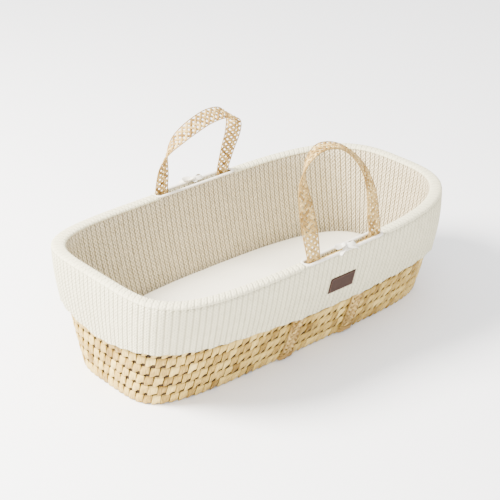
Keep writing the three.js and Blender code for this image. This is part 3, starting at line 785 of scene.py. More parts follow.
@dataclass(frozen=True)
class PalmBasket:
    """The plaited base, wall and rim border."""

    form: BasketForm
    finishes: Finishes
    row_height: float = 0.0242
    cell_width: float = 0.0182
    shown_height: float = 0.152
    row_gap: float = 0.0036
    leaf_depth: float = 0.0042
    slant: float = 0.0009
    end_slant: float = 0.0008
    pass_over: float = 0.22
    leaf_rows: int = 6
    leaf_columns: int = 7
    gap_sharpness: float = 6.0
    edge_steepness: float = 3.2
    leaf_thickness: float = 0.0007
    backing_out: float = -0.0028
    border_top: float = 0.0058
    border_bottom: float = 0.0158
    channel_half: float = 0.0168
    channel_depth: float = 0.0046

    def build(self) -> None:
        """Builds the three palm pieces of the basket body."""
        for piece, nodes in (
            (self.backing(), ("woven_wall",)),
            (self.leaves(), ()),
            (self.border(), ("rim_border",)),
            (self.base(), ("woven_base",)),
        ):
            if nodes:
                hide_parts(*nodes)
            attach(piece, "basket")

    def backing(self) -> bpy.types.Object:
        """Returns the inside of the plait, a plain shell behind the leaves, in near-black palm as painted
        shade for the gaps.
        """
        theta = self.form.around(240, 0.1)[:-1, None]
        top = self.form.crest(theta) - self.border_bottom - 0.0004
        share = np.array([0, 0.04, 0.2, 0.4, 0.6, 0.8, 1.0])
        z = mix(0.003, top, share[None])
        outer = self.form.wall(theta, self.backing_out, z)
        inner = self.form.wall(theta, -self.form.wall_thickness, z[:, ::-1])
        sections = np.concatenate([outer, inner], 1)
        along = np.linspace(0, 150, len(theta) + 1)
        around = np.linspace(0, 24, sections.shape[1] + 1)
        return swept(sections, along, around, True).made("palm_wall", self.finishes.backing)

    def leaves(self) -> bpy.types.Object:
        """Returns the leaves of the plait that show below the valance and a little above its hem.

        Each leaf is a thin pad, half a leaf off from those of the next row. One half of its lower edge
        is cut short and dips, which leaves a gap that shows the painted shade of the shell behind. The
        other half passes over the row below. On the upper edge the halves are swapped. The lowest row is
        not cut short.
        """
        rng = np.random.default_rng(SEED)
        rows = int(math.ceil(self.shown_height / self.row_height))
        around = self.form.around(6000, 0.06)
        perimeter = lengths(self.form.wall(around, 0, 0.06))[-1]
        cells = int(round(perimeter / self.cell_width))
        row, cell = (part.ravel() for part in np.meshgrid(np.arange(rows), np.arange(cells), indexing="ij"))
        count = len(row)
        v = np.linspace(0, 1, self.leaf_rows)[None, :, None]
        u = np.linspace(-1, 1, self.leaf_columns)[None, None, :]

        def spread(low: float, high: float) -> np.ndarray:
            return rng.uniform(low, high, count)[:, None, None]

        half = self.cell_width * spread(0.455, 0.495) * (1 - spread(0.0, 0.07) * v**2)
        middle = (cell + 0.5 * (row % 2) + rng.uniform(-0.04, 0.04, count)) * self.cell_width
        place = middle[:, None, None] + u * half + self.slant * (v - 0.5) * spread(0.4, 1.6)
        theta = np.interp((place / perimeter % 1) * 6000, np.arange(6001), around)
        start = 0.0008 + row[:, None, None] * self.row_height
        side = 0.5 + 0.5 * np.tanh(self.gap_sharpness * u)
        lower = self.row_gap * spread(0.6, 1.3) * side + self.end_slant * spread(-0.2, 1.0) * (u + 1) / 2
        lower = lower * (row[:, None, None] > 0)
        z = mix(start + lower, start + self.row_height - 0.0005, v)
        swell = (1 - np.abs(2 * v - 1) ** self.edge_steepness) * (1 - 0.22 * np.abs(u) ** 4)
        dip = self.pass_over + (1 - self.pass_over) * np.where(v < 0.5, side, 1 - side)
        out = 0.0004 + self.leaf_depth * spread(0.7, 1.25) * dip * (swell - 1)
        front = self.form.wall(theta, out, np.maximum(z, 0.0004))
        back = self.form.wall(theta, np.minimum(out - self.leaf_thickness, -0.002), np.maximum(z, 0.0004))
        tone = np.clip(rng.normal(0.54, 0.17, count), 0.1, 0.95)
        return thin_patches(front, back, tone).made("palm_weave", self.finishes.weave)

    def border(self) -> bpy.types.Object:
        """Returns the rim's border, a roll bound slantwise with leaf."""
        theta = self.form.around(1400, self.form.crest_height)[:-1, None]
        angle = np.linspace(0, 2 * math.pi, 12, endpoint=False)[None]
        turns = np.linspace(0, 190 * 2 * math.pi, len(theta), endpoint=False)[:, None]
        roll = 1 + 0.07 * np.cos(turns + angle)
        middle = self.form.crest(theta) - (self.border_top + self.border_bottom) / 2
        out = -self.form.wall_thickness / 2 + 0.0037 * roll * np.cos(angle)
        z = middle + 0.0047 * roll * np.sin(angle)
        sections = self.form.wall(theta, out, z)
        along = np.linspace(0, 190, len(theta) + 1)
        surface = swept(sections, along, np.linspace(0, 2, 13), True)
        # Tone in phase with the wraps' bulge: lighter on each crest and darker in the grooves between wraps,
        # as painted shade.
        surface.tone = np.broadcast_to(0.5 + 0.16 * np.cos(turns + angle), sections.shape[:2]).reshape(-1)
        return surface.made("palm_border", self.finishes.weave)

    def strap_line(self, end: End, y: np.ndarray) -> np.ndarray:
        """Returns the x of a strap's run under the base at the given y."""
        near, far = (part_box(f"strap_{side.word}_{end.word}") for side in Side)
        near_x, far_x = (near[0].x + near[1].x) / 2, (far[0].x + far[1].x) / 2
        reach = self.form.base_half_width
        return mix(near_x, far_x, (y + reach) / (2 * reach))

    def base(self) -> bpy.types.Object:
        """Returns the base, with plaited rows below and channels for the straps.

        The plate is a grid of lines across the basket. Lines run along the channels' edges.
        """
        reach = self.form.base_half_length - self.form.base_inset
        top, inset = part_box("woven_base")[1].z, self.form.base_inset
        lines = np.concatenate([
            reach * np.sin(np.linspace(-0.5, 0.5, 91) * math.pi) * 0.9995,
            *[
                centre + np.array([-1.02, -0.98, 0.98, 1.02]) * self.channel_half
                for centre in (self.strap_line(end, np.float64(0)) for end in End)
            ],
        ])
        lines = np.sort(lines)[:, None]
        share = np.linspace(-1, 1, 45)[None]
        half = np.abs(self.form.wall(self.form.side_angle(Side.FAR, lines, 0.004), 0, 0.004)[..., 1]) - inset
        y = share * half
        skew = self.strap_line(End.HEAD, y) - self.strap_line(End.HEAD, np.float64(0))
        x = lines + skew * np.clip(1 - (np.abs(lines) / reach) ** 6, 0, 1)
        centres = [self.strap_line(end, np.float64(0)) for end in End]
        channel = sum((np.abs(lines - centre) < self.channel_half).astype(float) for centre in centres)
        edge = np.minimum(reach - np.abs(lines), half - np.abs(y))
        rows = 0.0009 * np.abs(np.cos(math.pi * np.maximum(edge, 0) / self.row_height)) ** 0.5
        low = np.where(channel > 0, self.channel_depth, 0.001 - rows + 0.0004)
        bottom = np.stack([x, y, low], -1)
        upper = np.stack([x, y, np.full(x.shape, top)], -1)
        return thin_patches(upper[None], bottom[None], np.array([0.5])).made("palm_base", self.finishes.weave)


# ------------------------------------------------------------------------------- straps


@dataclass(frozen=True)
class Braid:
    """A flat braid of palm strands between two edge cords.

    Strand k is at the phase p = 2 pi (s / pitch + k / strands). It goes from side to side as a
    rounded triangle wave of p, and over and under the others as sin((strands - 1) p).
    """

    strands: int = 4
    pitch: float = 0.05
    strand_half: float = 0.0029
    strand_thickness: float = 0.0015
    edge_half: float = 0.0012
    step: float = 0.0022
    tube_segments: int = 8
    strand_phase: float = 0.31
    edge_phase: float = 0.4

    def surface(self, path: np.ndarray, wide: np.ndarray, width: np.ndarray, seed: int) -> Surface:
        """Returns the braid.

        Args:
            path: (n, 3) middle line.
            wide: (n, 3) direction of the braid's width.
            width: (n,) its width.
            seed: picks the strands' tones.
        """
        rng = np.random.default_rng(seed)
        distance = lengths(path)
        samples = np.arange(0, distance[-1], self.step)
        centre = self.resampled(path, distance, samples)
        across = unit(self.resampled(wide, distance, samples))
        half = np.interp(samples, distance, width) / 2 - self.strand_half
        face = unit(np.cross(tangents(centre), across))
        strands = []
        for k in range(self.strands):
            phase = 2 * math.pi * (samples / self.pitch + k / self.strands)
            side = 2 / math.pi * np.arcsin(0.97 * np.sin(phase)) * 1.04
            over = np.sin((self.strands - 1) * (phase + math.pi / 2)) * (1.0 - 0.25 * np.abs(side))
            line = centre + across * (side * half)[:, None] + face * (over * self.strand_thickness)[:, None]
            along = tangents(line)
            beside = np.cross(face, along)
            sizes = (self.strand_half, self.strand_thickness, self.tube_segments)
            tube = flat_tube(line, beside, *sizes, k * self.strand_phase)
            wave = 0.16 * np.sin(samples / 0.021 + k * 2.1)
            tube.tone = np.repeat(np.clip(rng.normal(0.62, 0.1) + wave, 0.2, 0.95), self.tube_segments)
            tube.corners = tube.corners[..., ::-1]
            strands.append(tube)
        for side in (-1, 1):
            line = centre + across * (side * (half + self.strand_half - self.edge_half))[:, None]
            beside = np.cross(face, tangents(line))
            sizes = (self.edge_half, self.edge_half, self.tube_segments)
            cord = flat_tube(line, beside, *sizes, side * self.edge_phase)
            cord.corners = cord.corners[..., ::-1]
            strands.append(cord)
        return Surface.joined(strands)

    @staticmethod
    def resampled(values: np.ndarray, distance: np.ndarray, samples: np.ndarray) -> np.ndarray:
        """Returns the rows of values at other distances along the path."""
        return np.stack([np.interp(samples, distance, values[:, axis]) for axis in range(3)], -1)


@dataclass(frozen=True)
class HandleRoute:
    """A handle's middle line as it stands: along, up and twist in degrees, from foot to head leg.

    Along is a share of half the leg spacing, and up a share of the handle's height.
    """

    side: Side
    points: tuple

    def curve(self, spacing: float, height: float, steps: int = 24) -> tuple[np.ndarray, np.ndarray]:
        """Returns the line in the handle's own plane, and its twist in radians.

        The line is a centripetal Catmull-Rom curve through the points.
        """
        table = np.array(self.points, float)
        knots = np.stack([table[:, 0] * spacing / 2, np.zeros(len(table)), table[:, 1] * height], -1)
        padded = np.concatenate([2 * knots[:1] - knots[1:2], knots, 2 * knots[-1:] - knots[-2:-1]])
        line = []
        share = np.linspace(0, 1, steps, endpoint=False)[:, None]
        for a, b, c, d in zip(padded, padded[1:], padded[2:], padded[3:]):
            gaps = [max(float(np.linalg.norm(q - p)) ** 0.5, 1e-6) for p, q in ((a, b), (b, c), (c, d))]
            start = (b - a) / gaps[0] - (c - a) / (gaps[0] + gaps[1]) + (c - b) / gaps[1]
            end = (c - b) / gaps[1] - (d - b) / (gaps[1] + gaps[2]) + (d - c) / gaps[2]
            start, end = start * gaps[1], end * gaps[1]
            square, cube = share**2, share**3
            line.append(
                (2 * cube - 3 * square + 1) * b + (cube - 2 * square + share) * start
                + (3 * square - 2 * cube) * c + (cube - square) * end
            )
        line = np.concatenate([*line, knots[-1:]])
        twist = np.interp(np.linspace(0, len(table) - 1, len(line)), np.arange(len(table)), table[:, 2])
        return line, np.radians(twist)


NEAR_ROUTE = HandleRoute(Side.NEAR, (
    (-1, 0, 0), (-1, 0.2, -16), (-1.01, 0.45, -12), (-1, 0.72, 22), (-0.78, 0.9, 66), (-0.3, 1, 105),
    (0.2, 0.96, 115), (0.64, 0.82, 130), (0.95, 0.62, 150), (1.06, 0.38, 170), (1.02, 0.17, 178), (1, 0, 180),
))
FAR_ROUTE = HandleRoute(Side.FAR, (
    (-1, 0, 0), (-1.04, 0.15, 5), (-1.08, 0.3, 20), (-1.02, 0.46, 50), (-0.76, 0.6, 90), (-0.35, 0.71, 115),
    (0.1, 0.78, 120), (0.6, 0.77, 100), (0.97, 0.65, 60), (1.06, 0.48, 35), (1.02, 0.26, 15), (1, 0, 0),
))


@dataclass(frozen=True)
class Straps:
    """The two braided straps. Each forms both legs of the two handles and runs under the base."""

    form: BasketForm
    finishes: Finishes
    joints: dict
    braid: Braid = field(default_factory=Braid)
    spacing: float = STRAP_SPACING
    handle_height: float = 0.2
    lean: float = 15.0
    wall_out: float = 0.003
    wall_width: float = 0.033
    handle_width: float = 0.034
    foot_height: float = 0.0045
    bend_below: float = 0.009
    bend_above: float = 0.012
    under_height: float = 0.0023
    under_braid: Braid = field(default_factory=lambda: Braid(strand_thickness=0.00095, edge_half=0.0009))
    cord_half_width: float = 0.00165
    cord_half_thickness: float = 0.00077

    def build(self) -> None:
        """Builds both handles with their wall straps, the runs under the base and the lashings."""
        for index, route in enumerate((NEAR_ROUTE, FAR_ROUTE)):
            self.handle(route, SEED + index)
        for index, end in enumerate(End):
            self.under(end, SEED + 10 + index)
            for side in Side:
                self.lashing(side, end)

    def hinge(self, side: Side) -> Vector:
        """Returns the middle of a handle's hinge line."""
        return Vector(self.joints[f"{side.word}_handle_swing"]["pos_m"])

    def leg(self, side: Side, end: End) -> np.ndarray:
        """Returns a leg's line up the wall, from the base edge to just under the hinge line."""
        x = self.hinge(side).x + end.value * self.spacing / 2
        z = np.linspace(self.foot_height, self.hinge(side).z - 0.004, 60)
        return self.form.side(side, x, self.wall_out, z)

    def handle(self, route: HandleRoute, seed: int) -> None:
        """Builds one handle with its two wall straps, as one braid whose path turns at the hinge line."""
        side, hinge = route.side, self.hinge(route.side)
        line, twist = route.curve(self.spacing, self.handle_height)
        tangent = tangents(line)
        inward = np.stack([tangent[:, 2], np.zeros(len(line)), -tangent[:, 0]], -1)
        wide = inward * np.cos(twist)[:, None] + np.array([0, 1, 0]) * np.sin(twist)[:, None]
        tilt = np.array(Matrix.Rotation(math.radians(self.lean * side.value), 3, "X"))
        arch, arch_wide = line @ tilt.T + np.array(hinge), wide @ tilt.T
        foot, head = self.leg(side, End.FOOT), self.leg(side, End.HEAD)[::-1]
        path = np.concatenate([foot, arch[1:-1], head])
        directions = np.concatenate([
            np.tile(arch_wide[:1], (len(foot), 1)), arch_wide[1:-1], np.tile(arch_wide[-1:], (len(head), 1))
        ])
        path, directions = self.eased(path, directions)
        above = np.clip((path[:, 2] - self.form.crest_height + 0.02) / 0.03, 0, 1)
        width = mix(self.wall_width, self.handle_width, above)
        name = f"{side.word}_handle_braid"
        piece = self.braid.surface(path, directions, width, seed).made(name, self.finishes.braid)
        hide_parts(f"handle_{side.word}", *[f"strap_{side.word}_{end.word}" for end in End])
        below, over = hinge.copy(), hinge.copy()
        below.z -= self.bend_below
        over.z += self.bend_above
        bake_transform(piece)

    @staticmethod
    def eased(path: np.ndarray, directions: np.ndarray) -> tuple[np.ndarray, np.ndarray]:
        """Returns path and directions evenly sampled and smoothed over 10 mm, with their ends kept."""
        distance = lengths(path)
        samples = np.linspace(0, distance[-1], 500)
        smooth = np.concatenate([Braid.resampled(part, distance, samples) for part in (path, directions)], 1)
        for _ in range(12):
            smooth[1:-1] = (smooth[:-2] + 2 * smooth[1:-1] + smooth[2:]) / 4
        return smooth[:, :3], smooth[:, 3:]

    def under(self, end: End, seed: int) -> None:
        """Builds a strap's run under the base, between the feet of its two wall lengths."""
        near, far = (self.leg(side, end)[0] for side in Side)
        share = np.linspace(0, 1, 60)[:, None]
        path = mix(near, far, share)
        path[:, 2] = self.under_height
        wide = np.tile([[1.0, 0.0, 0.0]], (len(path), 1))
        width = np.full(len(path), self.wall_width - 0.001)
        name = f"under_strap_{end.word}"
        piece = self.under_braid.surface(path, wide, width, seed).made(name, self.finishes.braid)
        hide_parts(f"strap_under_{end.word}")
        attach(piece, "basket")

    def lashing(self, side: Side, end: End) -> None:
        """Builds the cords that tie a strap down where it turns under the base."""
        x = self.hinge(side).x + end.value * self.spacing / 2
        half = self.wall_width / 2
        share = np.linspace(-1, 1, 41)
        cords = []
        for low, high in ((0.006, 0.011), (0.0085, 0.0175), (0.011, 0.006), (0.018, 0.009)):
            out = 0.0068 - 0.0062 * np.abs(share) ** 7
            line = self.form.side(side, x + share * (half + 0.003), out, mix(low, high, (share + 1) / 2))
            wide = np.tile([[0.0, 0.0, 1.0]], (len(line), 1))
            cord = flat_tube(line, wide, self.cord_half_width, self.cord_half_thickness, 8)
            cord.corners = cord.corners[..., ::-1]
            cords.append(cord)
        piece = Surface.joined(cords).made(f"lashing_{side.word}_{end.word}_cords", self.finishes.braid)
        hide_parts(f"lashing_{side.word}_{end.word}")
        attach(piece, "basket")


# ------------------------------------------------------------------------------- liner


@dataclass(frozen=True)
class KnitLiner:
    """The knitted liner: floor pad, inner wall, rim roll, valance, elastic and slot bindings."""

    form: BasketForm
    finishes: Finishes
    joints: dict
    slot_half: float = 0.108
    inner_out: float = -0.0135
    rib_depth: float = 0.0006
    stitch_height: float = 0.019
    pleat_depth: float = 0.0013
    pleats: int = 53
    strap_push: float = 0.0022
    pad_ribs: float = 32.0
    seam_drop: float = 0.006

    def build(self) -> None:
        """Builds the liner's pieces."""
        self.elastic()
        ribs = Ribs(self.form)
        wall, roll, valance = self.inner_wall(ribs), self.rim_roll(ribs), self.valance(ribs)
        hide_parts("liner_wall")
        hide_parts("valance")
        for piece, name in ((wall, "knit_inside"), (roll, "knit"), (valance, "knit")):
            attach(piece, "basket")
        self.floor_pad()
        for side in Side:
            self.binding(side)

    def slot_middle(self, side: Side) -> float:
        """Returns the x of the middle of a handle slot."""
        return self.joints[f"{side.word}_handle_swing"]["pos_m"][0]

    def slot_end(self, side: Side, end: End) -> float:
        """Returns the angle at which a handle slot ends."""
        x = self.slot_middle(side) + end.value * self.slot_half
        return float(self.form.side_angle(side, x, self.form.crest_height))

    def in_slot(self, theta: np.ndarray) -> np.ndarray:
        """Returns 1 for angles within a handle slot, and falls to 0 over 8 mm outside it."""
        point = self.form.wall(theta, 0, self.form.crest_height)
        inside = np.zeros(point.shape[:-1])
        for side in Side:
            beyond = np.abs(point[..., 0] - self.slot_middle(side)) - self.slot_half
            near_side = np.sign(point[..., 1]) == side.value
            inside = np.maximum(inside, np.clip(1 - beyond / 0.008, 0, 1) * near_side)
        return inside

    def inner_wall(self, ribs: Ribs) -> bpy.types.Object:
        """Returns the liner's inner wall, from the floor pad to the rim roll or the slot's edge."""
        theta, number = ribs.angles()
        theta = theta[:-1, None]
        relief = ribs.relief(number[:-1])[:, None]
        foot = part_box("liner_wall")[0].z
        crest = self.form.crest(theta)
        top = crest - self.seam_drop + 0.0048 * self.in_slot(theta)
        back_z = mix(foot, crest - 0.011, np.linspace(0, 1, 5)[None])
        back = self.form.wall(theta, -0.0089, back_z)
        lip = np.concatenate([
            self.form.wall(theta, -0.0095, top - 0.0012), self.form.wall(theta, -0.0115, top)
        ], 1)
        face_share = np.linspace(1, 0, 12)[None]
        gather = 0.0012 * np.sin(number[:-1] * 0.71)[:, None] * np.sin(math.pi * face_share)
        face_z = mix(foot, top - 0.0015, face_share)
        face = self.form.wall(theta, self.inner_out + 0.0005 - 0.5 * self.rib_depth * relief - gather, face_z)
        sections = np.concatenate([back, lip, face], 1)
        heights = lengths(sections[0])
        around = np.append(heights, heights[-1] + 0.005) / self.stitch_height
        return swept(sections, number, around, True).made("liner_inner_wall", self.finishes.knit_inside)

    def rim_roll(self, ribs: Ribs) -> bpy.types.Object:
        """Returns the liner's fold over the rim, in two lengths between the handle slots."""
        near, far = ([self.slot_end(side, end) for end in End] for side in Side)
        spans = ((far[0], near[0] + 2 * math.pi), (near[1], far[1]))
        profile = np.array([
            (-0.0135, -0.006), (-0.0135, -0.0042), (-0.0126, -0.0022), (-0.0106, -0.0008), (-0.0078, 0.0),
            (-0.0035, 0.0004), (0.001, 0.0003), (0.0048, -0.0002), (0.0078, -0.0014), (0.0095, -0.0032),
            (0.0101, -0.006), (0.0065, -0.006), (0.0055, -0.0048), (-0.0015, -0.0044), (-0.0088, -0.0048),
            (-0.0092, -0.006),
        ])
        normal = np.array([
            (-1, 0), (-1, 0.2), (-0.8, 0.6), (-0.4, 0.9), (0, 1), (0, 1), (0, 1), (0.3, 0.95), (0.8, 0.6),
            (1, 0.3), (1, 0), (0, 0), (0, 0), (0, 0), (0, 0), (0, 0),
        ])
        parts = []
        for start, end in spans:
            first, last = ribs.number(np.array([start, end]))
            number = np.linspace(first, last, int((last - first) * ribs.samples))
            known, ribs_at = ribs.angles()
            turns = np.floor(number / ribs.count)
            theta = (np.interp(number - turns * ribs.count, ribs_at, known) + turns * 2 * math.pi)[:, None]
            relief = ribs.relief(number)[:, None] * self.rib_depth * 0.1
            out = profile[None, :, 0] + normal[None, :, 0] * relief
            up = profile[None, :, 1] + normal[None, :, 1] * relief * 0.5
            sections = self.form.wall(theta, out, self.form.crest(theta) + up)
            heights = lengths(sections[0])
            around = np.append(heights, heights[-1] + 0.002) / self.stitch_height
            parts.append(swept(sections, number, around, False))
        return Surface.joined(parts).made("liner_rim_fold", self.finishes.knit_crest)

    def valance_points(
        self, theta: np.ndarray, share: np.ndarray, out: np.ndarray, top: np.ndarray
    ) -> np.ndarray:
        """Returns points of the valance at a share of its depth from the hem to its top."""
        puff = self.form.valance_puff * np.sin(math.pi * np.clip(share, 0, 1))
        z = mix(self.form.hem(theta), top, share)
        return self.form.wall(theta, self.form.valance_inner + puff + out, z)

    def over_straps(self, theta: np.ndarray) -> np.ndarray:
        """Returns how strongly a strap under the valance pushes it out, from 0 to 1."""
        point = self.form.wall(theta, 0, self.form.hem_height)
        push = np.zeros(point.shape[:-1])
        for side in Side:
            for end in End:
                away = point[..., 0] - self.slot_middle(side) - end.value * STRAP_SPACING / 2
                push += np.exp(-((away / 0.021) ** 2)) * (np.sign(point[..., 1]) == side.value)
        return push

    def valance(self, ribs: Ribs) -> bpy.types.Object:
        """Returns the valance, gathered by the elastic in its hem and pushed out over the straps."""
        theta, number = ribs.angles()
        theta, ridge = theta[:-1, None], number[:-1, None]
        crest = self.form.crest(theta)
        top = crest - self.seam_drop + 0.004 * self.in_slot(theta)
        share = np.linspace(1, 0, 16)[None] ** 1.3
        relief = ribs.relief(number[:-1])[:, None] * self.rib_depth
        turn = 2 * math.pi * ridge / ribs.count
        pleat = 0.5 + 0.5 * np.sin(self.pleats * turn + 1.7 * np.sin(5 * turn) + 0.9 * np.sin(11 * turn + 1))
        low = (1 - share) ** 3
        over_straps = self.strap_push * self.over_straps(theta)
        pushed = over_straps * (1 - share) ** 1.5
        thickness = self.form.valance_thickness - self.rib_depth
        out = thickness + relief + self.pleat_depth * pleat * low + pushed
        face = self.valance_points(theta, share, out, top)
        drop = 0.0011 * (0.5 - pleat) * np.clip(1 - share * 6, 0, 1)
        face[..., 2] += drop
        bottom_out = np.array([[0.0046, 0.003, 0.0008]]) + self.pleat_depth * pleat + over_straps
        bottom_share = np.array([[-0.012, -0.022, -0.012]])
        roll = self.valance_points(theta, bottom_share, bottom_out, top)
        roll[..., 2] += drop[:, -1:]
        back_share = np.array([[0.03, 0.2, 0.5, 0.8, 1.0]])
        back = self.valance_points(theta, back_share, np.full(back_share.shape, 0.0002), top)
        sections = np.concatenate([face, roll, back], 1)
        heights = lengths(sections[0])
        around = np.append(heights, heights[-1] + 0.004) / self.stitch_height
        return swept(sections, number, around, True).made("knit_valance", self.finishes.knit_outside)

    def floor_pad(self) -> None:
        """Builds the liner's knitted floor, under the mattress."""
        low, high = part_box("liner_floor")
        theta = self.form.around(160, 0.02)[:-1, None]
        share = np.array([[0.001, 0.35, 0.7, 0.93, 1.0, 1.0, 0.93, 0.7, 0.35, 0.001]])
        z = np.array([[low.z] * 4 + [low.z + 0.002, high.z - 0.003] + [high.z] * 4])
        edge = self.form.wall(theta, -0.0092, (low.z + high.z) / 2)
        sections = edge * np.array([1, 1, 0]) * share[..., None] + z[..., None] * np.array([0, 0, 1])
        surface = swept(sections, np.arange(161.0), np.arange(share.shape[1] + 1.0), True)
        rib_width = self.form.base_half_length / self.pad_ribs
        stitch = np.array([rib_width, self.stitch_height])
        surface.corners = surface.points[surface.quads][..., 1::-1] / stitch
        piece = surface.made("liner_floor_pad", self.finishes.knit_inside)
        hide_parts("liner_floor")
        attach(piece, "basket")

    def elastic(self) -> None:
        """Builds the elastic in the valance's hem."""
        theta = self.form.around(480, self.form.hem_height)[:-1, None]
        out = np.array([[0.0012, 0.0022, 0.0022, 0.0012]])
        up = np.array([[0.004, 0.004, 0.012, 0.012]])
        sections = self.form.wall(theta, self.form.valance_inner + out, self.form.hem(theta) + up)
        surface = swept(sections, np.arange(481.0), np.linspace(0, 1, 5), True)
        piece = surface.made("hem_band", self.finishes.elastic)
        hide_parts("hem_elastic")
        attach(piece, "basket")

    def binding(self, side: Side) -> None:
        """Builds the smooth binding round one handle slot, a loop with rounded ends."""
        inner, outer, half = -0.0122, 0.0094, self.slot_half - 0.002
        radius = (outer - inner) / 2
        straight = np.linspace(-1, 1, 90)
        bend = np.linspace(-math.pi / 2, math.pi / 2, 17)[1:-1]
        centre, reach = (inner + outer) / 2, half - radius
        x = np.concatenate([straight * reach, reach + radius * np.cos(bend), straight[::-1] * reach,
                            -reach - radius * np.cos(bend)])
        out = np.concatenate([np.full(90, inner), centre + radius * np.sin(bend), np.full(90, outer),
                              centre - radius * np.sin(bend)])
        x = x + self.slot_middle(side)
        angle = self.form.side_angle(side, x, self.form.crest_height)
        z = self.form.crest(angle) - 0.0012
        path = self.form.side(side, x, out, z)
        step = np.roll(path, -1, 0) - np.roll(path, 1, 0)
        level = unit(np.stack([-step[:, 1], step[:, 0], np.zeros(len(step))], -1))
        turn = np.linspace(0, 2 * math.pi, 12, endpoint=False)
        pucker = 1 + 0.06 * np.sin(lengths(path) / 0.0021)[:, None]
        sections = (
            path[:, None]
            + level[:, None] * (0.0036 * pucker * np.cos(turn))[..., None]
            + np.array([0, 0, 1]) * (0.0026 * pucker * np.sin(turn))[..., None]
        )
        surface = swept(sections, np.arange(len(path) + 1.0), np.linspace(0, 1, 13), True)
        piece = surface.made(f"slot_edge_{side.word}", self.finishes.binding)
        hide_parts(f"slot_binding_{side.word}")
        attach(piece, "basket")


@dataclass(frozen=True)
class RibbonBow:
    """A ribbon tied in a bow across a handle slot: two loops, two tails and a knot."""

    side: Side
    finishes: Finishes
    half_width: float = 0.0048
    half_thickness: float = 0.0005

    def build(self) -> None:
        """Builds the bow at its node's place."""
        low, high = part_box(f"tie_bow_{self.side.word}")
        middle = np.array([(low.x + high.x) / 2, (low.y + high.y) / 2, low.z + 0.0042])
        parts = [self.loop(end) for end in End] + [self.tail(end) for end in End]
        parts += [self.knot(), self.tie()]
        surface = Surface.joined(parts)
        surface.points = surface.points * np.array([1, self.side.value, 1]) + middle
        piece = surface.made(f"ribbon_bow_{self.side.word}", self.finishes.ribbon)
        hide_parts(f"tie_bow_{self.side.word}")
        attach(piece, "basket")

    def strip(self, points: np.ndarray, tilt: float) -> Surface:
        """Returns a strip of ribbon along a smooth line through the points.

        Args:
            points: (n, 3) line.
            tilt: how far the ribbon leans from standing on edge, in radians.
        """
        share = np.linspace(0, 1, 40) * (len(points) - 1)
        line = np.stack([np.interp(share, np.arange(len(points)), points[:, k]) for k in range(3)], -1)
        for _ in range(10):
            line[1:-1] = (line[:-2] + 2 * line[1:-1] + line[2:]) / 4
        tangent = tangents(line)
        beside = unit(np.cross(tangent, np.array([0.0, 0.0, 1.0])))
        wide = math.cos(tilt) * np.array([0.0, 0.0, 1.0]) + math.sin(tilt) * beside
        return flat_tube(line, wide, self.half_width, self.half_thickness, 10)

    def loop(self, end: End) -> Surface:
        """Returns one loop, which lies over to its side."""
        points = np.array([
            (0, 0, 0.001), (6, 5, 2), (14, 9, 3), (22, 8, 3), (26, 2, 2), (21, -4, 1.6), (12, -4, 1.8),
            (5, -2, 1.2), (0, 0, 1),
        ]) * np.array([end.value, 1, 1]) / 1000
        return self.strip(points, 0.75)

    def tail(self, end: End) -> Surface:
        """Returns one loose tail, which drops towards the valance."""
        points = np.array([(0, 1, 1.5), (5, 7, 0.8), (11, 12, -0.8), (19, 14, -3.0), (25, 15, -7.0)])
        points = points * np.array([end.value, 1, 1]) / 1000
        return self.strip(points, 1.3)

    def knot(self) -> Surface:
        """Returns the knot, a flattened ball."""
        turn = np.linspace(0, 2 * math.pi, 16, endpoint=False)[:, None]
        rise = np.linspace(-0.5, 0.5, 10)[None] * math.pi
        ring = np.maximum(np.cos(rise), 0.02)
        x, y = 0.0058 * ring * np.cos(turn), 0.0052 * ring * np.sin(turn)
        z = np.broadcast_to(0.0038 * np.sin(rise) + 0.0022, x.shape)
        outer = np.stack([x, y, z], -1)
        inner = outer[:, ::-1] * np.array([0.02, 0.02, 0.9]) + np.array([0, 0, 0.0002])
        sections = np.concatenate([outer, inner[:, 1:-1]], 1)
        return swept(sections, np.arange(17.0), np.linspace(0, 1, sections.shape[1] + 1), True)

    def tie(self) -> Surface:
        """Returns the ribbon's run across the slot, from one edge of the slot to the other."""
        y = np.linspace(-0.0105, 0.0105, 9)
        points = np.stack([np.zeros(9), y, -0.0012 - 0.0008 * np.cos(y / 0.0105 * math.pi / 2)], -1)
        return flat_tube(points, np.tile([[1.0, 0, 0]], (9, 1)), self.half_width, self.half_thickness, 8)


